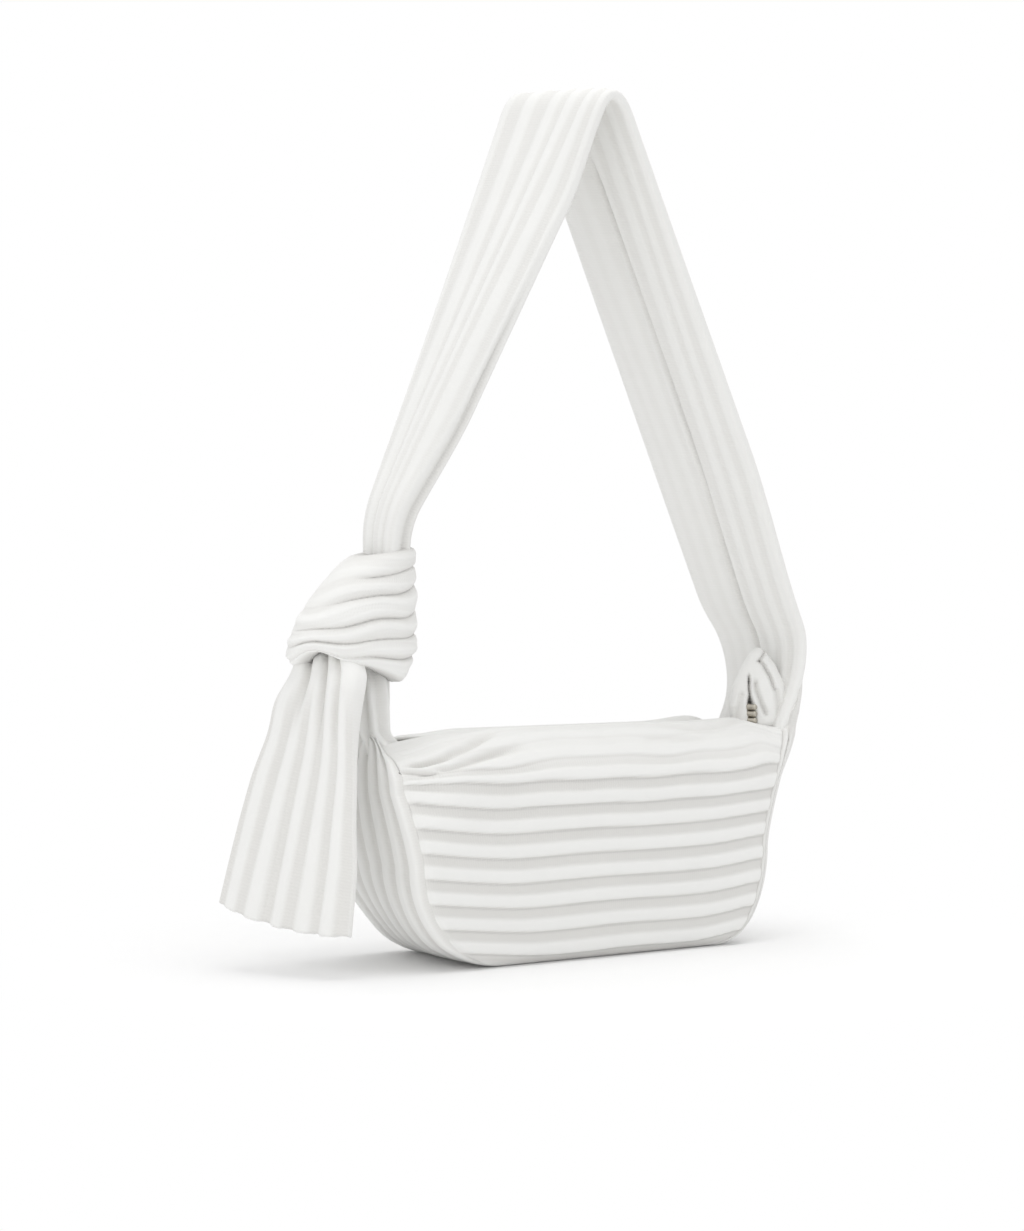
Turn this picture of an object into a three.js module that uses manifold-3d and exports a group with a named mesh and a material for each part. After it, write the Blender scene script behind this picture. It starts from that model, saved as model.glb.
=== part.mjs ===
// Ribbed-knit shoulder bag with a knotted strap, standing on its base.
// Millimetres, +Z up. The front faces -Y and the knot is on the -X side.
// The origin lies on the flat base, under the middle of the body.

import * as THREE from "three";
import { mergeVertices } from "three/addons/utils/BufferGeometryUtils.js";
import Module from "manifold-3d";

const wasm = await Module();
wasm.setup();

// Cloth and clearances
const knitWall = 2.4; // ribbed knit with its interlining
const waddingWall = 2.5;
const liningWall = 0.8;
const seamGap = 0.3; // between pieces that are sewn together or lie on each other
const bandClear = 1.2; // between the ends of the inner layers and the gusset band

// Body
const bodyDepth = 94;
const bodyHalfLength = 126; // at the top of the round lower corners
const baseLeft = 66; // flat base, left of the origin
const baseRight = 88; // flat base, right of the origin
const cornerRise = 57; // height where the round lower corners end
const foldHeight = 98; // line about which the mouth folds open
const topHeight = 131;

// Left end, gathered into the neck
const leftTop = 126;
const leftLean = 13; // outward lean of the end
const leftPull = 11; // how far the knot draws its top back in
const leftFoldDepth = 37; // half depth at the fold line
const leftTopDepth = 12; // half depth at the top

// Right end, flared by the strap
const rightTop = 124;
const rightFlare = 25;
const flarePower = 1.6;
const rightFoldDepth = 43;
const rightTopDepth = 38;

// Mouth and zip
const mouthLeft = 95; // ends of the part that opens, from the origin
const mouthRight = 115;
const mouthEdge = 6.5; // half width of the slot between the two mouth edges
const mouthTurn = 125; // degrees that the top curves round to its edge
const tapeWall = 0.8;
const tapeEdge = 2.5; // from the centre line to a tape's edge
const toothPitch = 4;
const toothWidth = 1.4;
const toothReach = 0.8; // past the centre line
const toothRoot = 1.2; // from the centre line to the bead that joins the teeth
const teethHeight = 2.2;
const sliderLength = 11;
const sliderWidth = 9;
const sliderPlate = 1;
const wedgeLength = 3.2;
const wedgeWidth = 3;
const bailLength = 7.4;
const bailWindow = 2.8;
const bailBar = 1.1;
const bailWidth = 1.8;
const pullLength = 24;
const pullWidth = 6;
const pullWall = 1.2;
const eyeWidth = 3.2;
const stopLength = 2;
const stopWidth = 1.7;
const tabLength = 11;

// Inside
const boardWall = 2;
const pocketWidth = 110;
const pocketHeight = 62;
const pocketWall = 1;
const pocketFoot = 24; // height of the pocket's lower seam

// Strap
const pivotHeight = 157; // the necks bend here when the strap swings
const strapHalfWidth = 46;
const strapHalfWall = 4;
const strapApexX = 10.5; // where the two legs of the strap would meet
const strapApexHeight = 503;
const crownTilt = 6; // degrees that the crown slopes, higher at the back
const crownBlend = 26; // length of each leg that the crown rounds off
const strapFootX = 159; // lower end of the right leg
const strapFootHeight = 187;
const strapFootHalfWidth = 35;
const rootHalfWidth = 40; // the strap's root on the flared end
const rootBend = 33; // length of the bend from the strap's foot down to the flared end

// Knot and neck
const neckX = -122;
const neckRadius = 8.5;
const neckBaseX = 10; // half length of the neck where it leaves the bag
const neckBaseY = 12;
const coreRadius = 8; // rolled cloth inside the knot
const knotRight = -100; // the knot's two sides
const knotLeft = -177;
const knotHalfDepth = 24;
const knotWall = 5;
const knotTop = 231;
const knotLeftBottom = 172;
const knotCrownHalfLength = 18; // the wrap where it closes round the strap
const knotCrownHalfDepth = 15.5;
const knotBands = 6;
const bandBulge = 1.6;
const knotStrapX = -115; // the strap where it enters the knot
const knotStrapHalfWidth = 14;
const knotStrapHalfWall = 9;
const legBend = 14; // over which the strap turns upright into the knot

// Tail
const tailX = -158.5;
const tailY = -10;
const tailLength = 133;
const tailHalfWidth = 45;
const tailNeckHalfWidth = 21;
const tailHalfWall = 4;
const tailNeckHalfWall = 7.5;
const tailFolds = 3;
const foldDepth = 3;
const tailTurn = 71; // degrees from the X axis to the tail's width
const tailTilt = 8; // degrees that the tail leans in its own plane
const tailLean = 7.6; // degrees that it leans away from the bag

// Facets
const cornerSteps = 6;
const sideSteps = 3;
const topSteps = 6;
const ringSteps = 20;
const knotSteps = 36;

const halfDepth = bodyDepth / 2;
const quarterTurn = Math.PI / 2;
const frontLayers = knitWall + waddingWall + liningWall + 3 * seamGap;
const linerDepth = knitWall + boardWall + 2 * seamGap; // of the gusset lining below the band
const fullTurn = THREE.MathUtils.degToRad(mouthTurn);
// Half depth of the top's crest line, and height of the mouth's two edges
const crestDepth = (mouthEdge - halfDepth * Math.cos(fullTurn)) / (1 - Math.cos(fullTurn));
const edgeHeight = foldHeight + (topHeight - foldHeight) * Math.sin(fullTurn);
const tapeTop = edgeHeight - (knitWall + seamGap) * Math.sin(fullTurn);
const zipHeight = tapeTop - tapeWall / 2;

const ivory = new THREE.Color(0.87, 0.87, 0.85);
const lining = new THREE.Color(0.8, 0.79, 0.76);
const steel = new THREE.Color(0.7, 0.7, 0.69);
const board = new THREE.Color(0.62, 0.58, 0.52);

const lerp = THREE.MathUtils.lerp;
const smooth = THREE.MathUtils.smoothstep;
const radians = THREE.MathUtils.degToRad;

const bag = new THREE.Group();

function addPiece(name, geometry, color, roughness = 0.9, metalness = 0) {
  const mesh = new THREE.Mesh(geometry, new THREE.MeshStandardMaterial({ color, roughness, metalness }));
  mesh.name = name;
  bag.add(mesh);
}

// Evenly spaced values from start to end, both included.
function steps(start, end, count) {
  return Array.from({ length: count + 1 }, (_, i) => lerp(start, end, i / count));
}

// A geometry from points and triangles, without unused points, its faces turned outwards.
function closedGeometry(points, triangles) {
  let volume = 0;
  for (let i = 0; i < triangles.length; i += 3) {
    const [a, b, c] = triangles.slice(i, i + 3).map((n) => points[n]);
    volume += a.dot(b.clone().cross(c));
  }
  const order = volume < 0 ? triangles.slice().reverse() : triangles;
  const geometry = new THREE.BufferGeometry();
  geometry.setFromPoints(order.map((n) => points[n]));
  return mergeVertices(geometry, 1e-5);
}

// A cloth panel: an outer and an inner face over lines of u and v, walled along each free edge.
function panel(outer, inner, us, vs, kept = () => true) {
  const points = [outer, inner].flatMap((face) => us.flatMap((u) => vs.map((v) => face(u, v))));
  const at = (side, [i, j]) => (side * us.length + i) * vs.length + j;
  const middle = (lines, i) => (lines[i] + lines[i + 1]) / 2;
  const inside = (i, j) => i >= 0 && j >= 0 && i < us.length - 1 && j < vs.length - 1;
  const holds = (i, j) => inside(i, j) && kept(middle(us, i), middle(vs, j));
  const triangles = [];
  for (let i = 0; i < us.length - 1; i += 1) {
    for (let j = 0; j < vs.length - 1; j += 1) {
      if (!holds(i, j)) continue;
      const corners = [[i, j], [i + 1, j], [i + 1, j + 1], [i, j + 1]];
      const [a, b, c, d] = corners.map((corner) => at(0, corner));
      const [e, f, g, h] = corners.map((corner) => at(1, corner));
      triangles.push(a, b, c, a, c, d, e, g, f, e, h, g);
      const beside = [[i, j - 1], [i + 1, j], [i, j + 1], [i - 1, j]];
      beside.forEach((cell, n) => {
        if (holds(...cell)) return;
        const ends = [corners[n], corners[(n + 1) % 4]];
        const [o0, o1] = ends.map((corner) => at(0, corner));
        const [i0, i1] = ends.map((corner) => at(1, corner));
        triangles.push(o1, o0, i0, o1, i0, i1);
      });
    }
  }
  return closedGeometry(points, triangles);
}

// A solid through rings of points. Its ends are capped, or joined to each other when it is a closed ring.
function loft(rings, closed = false) {
  const count = rings[0].length;
  const points = rings.flat();
  const triangles = [];
  const spans = closed ? rings.length : rings.length - 1;
  for (let r = 0; r < spans; r += 1) {
    const next = (r + 1) % rings.length;
    for (let i = 0; i < count; i += 1) {
      const j = (i + 1) % count;
      const [a, b, c, d] = [r * count + i, r * count + j, next * count + i, next * count + j];
      triangles.push(a, b, d, a, d, c);
    }
  }
  if (!closed) {
    for (const r of [0, rings.length - 1]) {
      const centre = points.push(middlePoint(rings[r])) - 1;
      for (let i = 0; i < count; i += 1) {
        const [a, b] = [r * count + i, r * count + ((i + 1) % count)];
        triangles.push(...(r === 0 ? [b, a, centre] : [a, b, centre]));
      }
    }
  }
  return closedGeometry(points, triangles);
}

function middlePoint(ring) {
  return ring.reduce((sum, point) => sum.add(point), new THREE.Vector3()).divideScalar(ring.length);
}

// An outline between an ellipse and a rectangle, as pairs of distances along two directions.
function flatOutline(halfWidth, halfWall, count = ringSteps) {
  const power = 0.6;
  return Array.from({ length: count }, (_, i) => {
    const angle = (2 * Math.PI * (i + 0.5)) / count;
    const [c, s] = [Math.cos(angle), Math.sin(angle)];
    return [halfWidth * Math.sign(c) * Math.abs(c) ** power, halfWall * Math.sign(s) * Math.abs(s) ** power];
  });
}

// An outline in the XY plane, extruded upwards from z.
function plate(outline, z, height, holes = []) {
  const shape = new THREE.Shape(outline.map(([x, y]) => new THREE.Vector2(x, y)));
  shape.holes = holes.map((hole) => new THREE.Path(hole.map(([x, y]) => new THREE.Vector2(x, y))));
  const geometry = new THREE.ExtrudeGeometry(shape, { depth: height, bevelEnabled: false });
  return geometry.translate(0, 0, z);
}

// A rectangle with round corners, as an outline in the XY plane.
function roundedOutline(x0, x1, y0, y1, radius, turns = 4) {
  const [left, right, near, far] = [x0 + radius, x1 - radius, y0 + radius, y1 - radius];
  const corners = [[right, far], [left, far], [left, near], [right, near]];
  return corners.flatMap(([cx, cy], n) => steps(0, 1, turns).map((t) => {
    const angle = (n + t) * quarterTurn;
    return [cx + radius * Math.cos(angle), cy + radius * Math.sin(angle)];
  }));
}

function toSolid(geometry) {
  const bare = new THREE.BufferGeometry();
  bare.setAttribute("position", geometry.getAttribute("position"));
  bare.setIndex(geometry.getIndex());
  const merged = mergeVertices(bare, 1e-5);
  return new wasm.Manifold(new wasm.Mesh({
    numProp: 3,
    vertProperties: new Float32Array(merged.getAttribute("position").array),
    triVerts: new Uint32Array(merged.getIndex().array),
  }));
}

function fuse(geometries) {
  const mesh = geometries.map(toSolid).reduce((sum, solid) => sum.add(solid)).getMesh();
  const geometry = new THREE.BufferGeometry();
  geometry.setAttribute("position", new THREE.BufferAttribute(mesh.vertProperties, 3));
  geometry.setIndex(new THREE.BufferAttribute(mesh.triVerts, 1));
  return geometry;
}

// Body ends: how far the end reaches from the origin at a height.
function cornerReach(flat, z) {
  const t = Math.min(z / cornerRise, 1);
  return flat + (bodyHalfLength - flat) * Math.sqrt(1 - (1 - t) ** 2);
}

const left = {
  sign: -1,
  flat: baseLeft,
  top: leftTop,
  mouth: mouthLeft,
  foldDepth: leftFoldDepth,
  topDepth: leftTopDepth,
  reach(z) {
    const t = Math.max(z - cornerRise, 0) / (leftTop - cornerRise);
    return cornerReach(baseLeft, z) + leftLean * t - leftPull * t ** 4;
  },
};

const right = {
  sign: 1,
  flat: baseRight,
  top: rightTop,
  mouth: mouthRight,
  foldDepth: rightFoldDepth,
  topDepth: rightTopDepth,
  reach(z) {
    const t = Math.max(z - cornerRise, 0) / (rightTop - cornerRise);
    return cornerReach(baseRight, z) + rightFlare * t ** flarePower;
  },
};

// Half depth of an end at a height, less an inset square to the cloth.
function endDepth(end, z, inset = 0) {
  if (z <= foldHeight) {
    const t = Math.max(z - cornerRise, 0) / (foldHeight - cornerRise);
    return lerp(halfDepth, end.foldDepth, t * t) - inset;
  }
  const t = Math.min((z - foldHeight) / (end.top - foldHeight - inset), 1);
  return end.topDepth + (end.foldDepth - end.topDepth - inset) * Math.sqrt(1 - t * t);
}

// A point of the front, depth below its outer skin. k runs 0 to 1 over the left end, 1 to 2 over the
// mouth and 2 to 3 over the right end; v runs 0 to 1 up the front and 1 to 2 over the top to the mouth.
function frontPoint(k, v, depth, inset = 0) {
  const low = Math.min(v, 1) * foldHeight;
  const over = Math.max(v - 1, 0);
  const end = k < 1.5 ? left : right;
  const share = Math.max(1 - k, k - 2, 0);
  const pull = smooth(share, 0, 1);
  const [turn, endTurn] = [over * fullTurn, over * quarterTurn];
  const endHeight = low + (end.top - foldHeight) * Math.sin(endTurn);

  const insetReach = (side, z) => side.reach(Math.max(z - inset, 0)) - inset;
  const narrowing = (side) => insetReach(side, low) / insetReach(side, foldHeight);
  const [mouthStart, mouthStop] = [-mouthLeft * narrowing(left), mouthRight * narrowing(right)];
  const mouthX = end === left ? mouthStart : mouthStop;
  const endX = end.sign * insetReach(end, endHeight);
  const x = share > 0 ? lerp(mouthX, endX, share) : lerp(mouthStart, mouthStop, k - 1);

  const y = lerp(crestDepth + (halfDepth - crestDepth) * Math.cos(turn), endDepth(end, endHeight), pull);
  const z = lerp(low + (topHeight - foldHeight) * Math.sin(turn), endHeight, pull);
  const below = lerp(turn, endTurn, pull);
  return new THREE.Vector3(x, depth * Math.cos(below) - y, z - depth * Math.sin(below));
}

const toBack = (point) => new THREE.Vector3(point.x, -point.y, point.z);
const sides = [["front", (point) => point], ["back", toBack]];

// The profile of the gusset band from the top of the left end to the top of the right end. q runs 0 to 1
// from the top down to the fold line, to 2 down the side, to 3 round the corner and to 4 over the base,
// and on in the same way up the right end to 7. inset lowers the top.
function bandProfile(q, inset) {
  const end = q < 3.5 ? left : right;
  const fromTop = Math.min(q, 7 - q);
  if (fromTop <= 2) {
    const rise = Math.sin(Math.max(1 - fromTop, 0) * quarterTurn);
    const z = lerp(foldHeight, cornerRise, Math.max(fromTop - 1, 0)) + (end.top - inset - foldHeight) * rise;
    return [end.sign * end.reach(z), z];
  }
  if (fromTop <= 3) {
    const angle = (3 - fromTop) * quarterTurn;
    const reach = lerp(end.flat, bodyHalfLength, Math.sin(angle));
    return [end.sign * reach, cornerRise * (1 - Math.cos(angle))];
  }
  return [lerp(-baseLeft, baseRight, q - 3), 0];
}

// A point of the band, depth inside its outer face, at a share w of its half width.
function bandPoint(q, w, depth, inset) {
  const nudge = 1e-3;
  const [x0, z0] = bandProfile(Math.max(q - nudge, 0), inset);
  const [x1, z1] = bandProfile(Math.min(q + nudge, 7), inset);
  const [x, z] = bandProfile(q, inset);
  const along = Math.hypot(x1 - x0, z1 - z0);
  const half = endDepth(q < 3.5 ? left : right, z, inset);
  return new THREE.Vector3(x - (depth * (z1 - z0)) / along, w * half, z + (depth * (x1 - x0)) / along);
}

const sideLines = [...steps(1, 2, sideSteps).slice(0, -1), ...steps(2, 3, cornerSteps)];
const bandLines = [...sideLines, ...sideLines.map((q) => 7 - q).reverse()];
const topLines = steps(0, 1, topSteps).slice(0, -1);
const wholeBandLines = [...topLines, ...bandLines, ...topLines.map((q) => 7 - q).reverse()];
const acrossBand = [-1, -0.5, 0, 0.5, 1];

// Rows of the panels: as fine as the band round the corners, then even, then round over the top.
const cornerRows = steps(0, quarterTurn, cornerSteps).map((a) => (cornerRise * (1 - Math.cos(a))) / foldHeight);
const frontRows = [...cornerRows.slice(0, -1), ...steps(cornerRows[cornerSteps], 1, sideSteps)];
const topRows = steps(1, 2, topSteps);
const endColumns = [0, 0.1, 0.3, 0.6];
const columns = [...endColumns, ...steps(1, 2, 8), ...endColumns.map((t) => 3 - t).reverse()];
const innerColumns = steps(0, 3, 9);
const seamRow = seamGap / (topHeight - foldHeight);
const flapRows = steps(1 + seamRow, 2, topSteps);
const tapeRow = 4; // row of the flap where its facing ends and the zip tape starts
const overMouth = steps(1 + seamGap / (mouthLeft + mouthRight), 2 - seamGap / (mouthLeft + mouthRight), 8);

// Body panels with their mouth flaps, facings, wadding and lining, front and back
for (const [side, place] of sides) {
  const at = (depth, inset) => (k, v) => place(frontPoint(k, v, depth, inset));
  const outsideMouth = (k, v) => v < 1 || k < 1 || k > 2;
  const panelRows = [...frontRows, ...topRows.slice(1)];
  addPiece(`${side}_panel`, panel(at(0), at(knitWall), columns, panelRows, outsideMouth), ivory);

  addPiece(`${side}_mouth`, panel(at(0), at(knitWall), overMouth, flapRows), ivory);

  const facing = knitWall + seamGap;
  const facingRows = flapRows.slice(0, tapeRow + 1);
  addPiece(`${side}_facing`, panel(at(facing), at(facing + liningWall), overMouth, facingRows), lining);

  const waddingFace = knitWall + seamGap;
  const liningFace = waddingFace + waddingWall + seamGap;
  const inset = knitWall + bandClear;
  const footRow = inset / foldHeight;
  const footRows = steps(footRow, cornerRows[cornerSteps], cornerSteps);
  const innerRows = [...footRows.slice(0, -1), ...steps(cornerRows[cornerSteps], 1, sideSteps)];
  const inner = (face, wall) => panel(at(face, inset), at(face + wall, inset), innerColumns, innerRows);
  addPiece(`${side}_wadding`, inner(waddingFace, waddingWall), ivory);
  addPiece(`lining_${side}`, inner(liningFace, liningWall), lining);
}

// Gusset band, its lining and the base board
const bandInset = knitWall + 3 * seamGap;
const bandOuter = (q, w) => bandPoint(q, w, 0, bandInset);
const bandInner = (q, w) => bandPoint(q, w, knitWall, bandInset + knitWall / 2);
addPiece("gusset_band", panel(bandOuter, bandInner, wholeBandLines, acrossBand), ivory);

const linerOuter = (q, w) => bandPoint(q, w, linerDepth, frontLayers);
const linerInner = (q, w) => bandPoint(q, w, linerDepth + liningWall, frontLayers);
addPiece("lining_gusset", panel(linerOuter, linerInner, bandLines, acrossBand), lining);

const boardHalf = halfDepth - frontLayers;
const boardOutline = roundedOutline(-baseLeft, baseRight, -boardHalf, boardHalf, boardHalf / 4);
addPiece("base_board", plate(boardOutline, knitWall + seamGap, boardWall), board);

// Slip pocket, sewn to the lining of the back
const pocketFace = (depth) => (x, z) => new THREE.Vector3(x, halfDepth - depth, z);
const pocketX = (mouthRight - mouthLeft) / 2;
const pocketColumns = steps(pocketX - pocketWidth / 2, pocketX + pocketWidth / 2, 4);
const pocketRows = steps(pocketFoot, pocketFoot + pocketHeight, 4);
const [pocketBack, pocketFront] = [pocketFace(frontLayers), pocketFace(frontLayers + pocketWall)];
addPiece("slip_pocket", panel(pocketBack, pocketFront, pocketColumns, pocketRows), lining);

// Zip tapes: under the mouth edge, then flat out to the teeth
const zipStart = -mouthLeft + 2 * seamGap;
const zipEnd = mouthRight - 2 * seamGap;
const sliderNose = zipEnd - stopLength - 2 * seamGap;
const sliderTail = sliderNose - sliderLength;
const teethStart = zipStart + stopLength + 2 * seamGap;
const teethEnd = sliderNose - wedgeLength - seamGap;
for (const [side, place] of sides) {
  const tapePoint = (depth) => (k, v) => {
    const point = frontPoint(k, Math.min(v, 2), knitWall + seamGap + depth);
    const lip = Math.max(v - 2, 0);
    point.y = lerp(point.y, -tapeEdge, lip);
    point.z = lerp(point.z, tapeTop - depth, lip);
    return place(point);
  };
  const tapeRows = [flapRows[tapeRow] + 2 * seamRow, ...flapRows.slice(tapeRow + 1), 3];
  addPiece(`zip_tape_${side}`, panel(tapePoint(0), tapePoint(tapeWall), overMouth, tapeRows), ivory);
}

// Zip teeth: two combs that interleave along the centre line
const toothCount = Math.floor((teethEnd - teethStart - toothWidth) / toothPitch - 0.5);
function combOutline(shift) {
  const bead = tapeEdge - seamGap;
  const tops = Array.from({ length: toothCount }, (_, n) => teethEnd - toothWidth - (n + shift) * toothPitch);
  const teeth = tops.flatMap((x) => [
    [x + toothWidth, -toothRoot],
    [x + toothWidth, toothReach],
    [x, toothReach],
    [x, -toothRoot],
  ]);
  const beadEnd = teethEnd + seamGap / 2;
  return [[teethStart, -bead], [beadEnd, -bead], [beadEnd, -toothRoot], ...teeth, [teethStart, -toothRoot]];
}
const teethBottom = zipHeight - teethHeight / 2;
addPiece("zip_teeth_front", plate(combOutline(0.1), teethBottom, teethHeight), steel, 0.35, 1);
const backComb = combOutline(0.6).map(([x, y]) => [x, -y]).reverse();
addPiece("zip_teeth_back", plate(backComb, teethBottom, teethHeight), steel, 0.35, 1);

// Zip stops
const stopOutline = (x, y0, y1) => roundedOutline(x, x + stopLength, y0, y1, stopWidth / 4);
const topStopX = sliderNose + seamGap;
const stopEdge = tapeEdge - seamGap;
for (const [side, place] of sides) {
  const outline = stopOutline(topStopX, -stopEdge, stopWidth - stopEdge);
  const turned = outline.map(([x, y]) => place(new THREE.Vector3(x, y, 0))).map((point) => [point.x, point.y]);
  addPiece(`zip_top_stop_${side}`, plate(turned, teethBottom, teethHeight), steel, 0.35, 1);
}
const bottomStop = stopOutline(zipStart, -stopEdge, stopEdge);
addPiece("zip_bottom_stop", plate(bottomStop, teethBottom, teethHeight), steel, 0.35, 1);

// Zip slider: two plates round the teeth, the wedge between them and the bail for the pull
const plateGap = teethHeight / 2 + seamGap;
const sliderTop = zipHeight + plateGap + sliderPlate;
function centredOutline(x0, x1, width) {
  return roundedOutline(x0, x1, -width / 2, width / 2, width / 4);
}
const sliderOutline = centredOutline(sliderTail, sliderNose, sliderWidth);
const wedgeOutline = centredOutline(sliderNose - wedgeLength, sliderNose, wedgeWidth);
const bailStart = sliderTail + (sliderLength - bailLength) / 2;
const bailSide = new THREE.Shape([
  [0, 0], [bailBar, 0], [bailBar, bailWindow], [bailLength - bailBar, bailWindow], [bailLength - bailBar, 0],
  [bailLength, 0], [bailLength, bailWindow + bailBar / 2], [bailLength - bailBar, bailWindow + bailBar],
  [bailBar, bailWindow + bailBar], [0, bailWindow + bailBar / 2],
].map(([x, z]) => new THREE.Vector2(x, z)));
const bailSunk = sliderPlate / 2;
const bail = new THREE.ExtrudeGeometry(bailSide, { depth: bailWidth, bevelEnabled: false });
bail.scale(1, 1 + bailSunk / (bailWindow + bailBar), 1);
bail.rotateX(quarterTurn).translate(bailStart, bailWidth / 2, sliderTop - bailSunk);
const sliderPieces = [
  plate(sliderOutline, sliderTop - sliderPlate, sliderPlate),
  plate(sliderOutline, zipHeight - plateGap - sliderPlate, sliderPlate),
  plate(wedgeOutline, zipHeight - plateGap - sliderPlate / 2, 2 * plateGap + sliderPlate),
  bail,
];
addPiece("zip_slider", fuse(sliderPieces), steel, 0.3, 1);

// Zip pull: its eye goes round the near leg of the bail, and it lies along the zip
const eyeBar = 1.6;
const pullLift = (bailWindow - pullWall) / 2;
const pivotX = bailStart + bailLength / 2;
const pullEnd = pivotX + eyeBar / 2;
const pullOutline = roundedOutline(pullEnd - pullLength, pullEnd, -pullWidth / 2, pullWidth / 2, pullWidth / 3);
const eyeStart = bailStart - bailBar - eyeBar;
const eyeOutline = centredOutline(eyeStart, pullEnd - eyeBar, eyeWidth);
addPiece("zip_pull", plate(pullOutline, sliderTop + pullLift, pullWall, [eyeOutline.reverse()]), steel, 0.3, 1);

// Cloth tabs over the two ends of the zip
const tabHalf = mouthEdge - 2 * seamGap;
const tabBottom = edgeHeight - 2 * knitWall;
for (const end of [left, right]) {
  const near = end.sign * (end.mouth + seamGap);
  const far = near + end.sign * tabLength;
  const outline = roundedOutline(Math.min(near, far), Math.max(near, far), -tabHalf, tabHalf, tabHalf / 4);
  addPiece(end === left ? "zip_tab_left" : "zip_tab_right", plate(outline, tabBottom, knitWall), ivory);
}

// Height of the top's crest over an end of the body
function crestHeight(end, x) {
  const share = THREE.MathUtils.clamp((end.sign * x - end.mouth) / (end.reach(end.top) - end.mouth), 0, 1);
  return lerp(topHeight, end.top, smooth(share, 0, 1));
}

// Left neck: a collar on the gathered end, rising to the knot
const neckTop = pivotHeight - seamGap;
const neckRings = steps(0, 1, 6).map((t) => {
  const halfX = lerp(neckBaseX, neckRadius, smooth(t, 0, 0.6));
  const halfY = lerp(neckBaseY, neckRadius, smooth(t, 0, 0.6));
  return steps(0, 2 * Math.PI, ringSteps).slice(0, -1).map((angle) => {
    const x = neckX + halfX * Math.cos(angle);
    const foot = crestHeight(left, x) + seamGap;
    return new THREE.Vector3(x, halfY * Math.sin(angle), lerp(foot, neckTop, t));
  });
});
addPiece("neck_left", loft(neckRings), ivory);

// Gather of folds at the right end of the mouth: a low skirt over the slot, bunched up in the middle
const gatherStart = mouthRight + 5;
const gatherEnd = right.reach(rightTop) - 2 * strapHalfWall - 2;
const gatherRise = 30;
const bunchHalfWidth = 13;
const bunchFold = 9; // from one fold of the bunch to the next
function gatherPoint(x, w) {
  const share = (x - mouthRight) / (right.reach(rightTop) - mouthRight);
  const half = lerp(mouthEdge, rightTopDepth, smooth(share, 0, 1)) + knitWall;
  const height = lerp(edgeHeight + knitWall, rightTop, smooth(share, 0, 1)) + seamGap;
  return new THREE.Vector3(x, w * half, height);
}
function gatherTop(x, w) {
  const point = gatherPoint(x, w);
  const along = (x - gatherStart) / (gatherEnd - gatherStart);
  const fold = 0.9 + 0.1 * Math.cos((2 * Math.PI * point.y) / bunchFold);
  const bunch = 1 / (1 + (point.y / bunchHalfWidth) ** 4);
  point.z += knitWall + gatherRise * smooth(along, 0, 0.8) * bunch * fold;
  return point;
}
const gatherColumns = steps(gatherStart, gatherEnd, 6);
addPiece("mouth_gather", panel(gatherTop, gatherPoint, gatherColumns, steps(-1, 1, 26)), ivory);

// A flat tube along a path in the XZ plane, its width along Y, with rings at the given shares of the path.
function flatTube(path, shares, halfWidth, halfWall, slope = () => 0) {
  return loft(shares.map((t) => {
    const centre = path.getPointAt(t);
    const tangent = path.getTangentAt(t);
    const across = new THREE.Vector3(-tangent.z, 0, tangent.x);
    const along = new THREE.Vector3(0, 1, slope(t));
    return flatOutline(halfWidth(t), halfWall(t)).map(([width, wall]) =>
      centre.clone().addScaledVector(across, wall).addScaledVector(along, width));
  }));
}

const inPlane = (x, z) => new THREE.Vector3(x, 0, z);

// The two legs of the strap, from their feet up to the point where they would meet
const apex = inPlane(strapApexX, strapApexHeight);
const leftFoot = inPlane(knotStrapX, knotTop + legBend);
const rightFoot = inPlane(strapFootX, strapFootHeight);
function alongLeg(foot, distance) {
  return foot.clone().addScaledVector(apex.clone().sub(foot).normalize(), distance);
}

// Strap root: runs on from the right end of the gusset band and bends into the strap's right leg
const rootStart = rightTop + strapHalfWall / 2 + seamGap;
const rootPath = new THREE.QuadraticBezierCurve3(
  inPlane(right.reach(rightTop) - strapHalfWall, rootStart),
  alongLeg(rightFoot, -rootBend),
  alongLeg(rightFoot, -seamGap),
);
const rootWidth = (t) => lerp(rootHalfWidth, strapFootHalfWidth, t);
addPiece("strap_root", flatTube(rootPath, steps(0, 1, 8), rootWidth, () => strapHalfWall), ivory);

// Shoulder strap: two straight legs that meet in a round crown
const crownStart = alongLeg(leftFoot, leftFoot.distanceTo(apex) - crownBlend);
const crownEnd = alongLeg(rightFoot, rightFoot.distanceTo(apex) - crownBlend);
const strapPath = new THREE.CurvePath();
const legStart = alongLeg(leftFoot, legBend);
const strapStart = inPlane(knotStrapX, knotTop + 2 * seamGap);
strapPath.add(new THREE.QuadraticBezierCurve3(strapStart, leftFoot, legStart));
strapPath.add(new THREE.LineCurve3(legStart, crownStart));
strapPath.add(new THREE.QuadraticBezierCurve3(crownStart, apex, crownEnd));
strapPath.add(new THREE.LineCurve3(crownEnd, rightFoot));
const pieceEnds = strapPath.getCurveLengths().map((length) => length / strapPath.getLength());
const pieceSteps = [3, 9, 10, 11];
const strapShares = pieceSteps.flatMap((count, n) =>
  steps(pieceEnds[n - 1] ?? 0, pieceEnds[n], count).slice(1));
const gatheredPart = 0.44;
const narrowedPart = 0.8;
function strapWidth(t) {
  const leftShare = Math.min(t / gatheredPart, 1);
  const rightShare = Math.max((t - narrowedPart) / (1 - narrowedPart), 0);
  return lerp(knotStrapHalfWidth, strapHalfWidth, leftShare) - (strapHalfWidth - strapFootHalfWidth) * rightShare;
}
const strapWall = (t) => lerp(knotStrapHalfWall, strapHalfWall, smooth(t, 0, gatheredPart));
const strapSlope = (t) => Math.tan(radians(crownTilt)) * Math.sin(Math.PI * t) ** 2;
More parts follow.
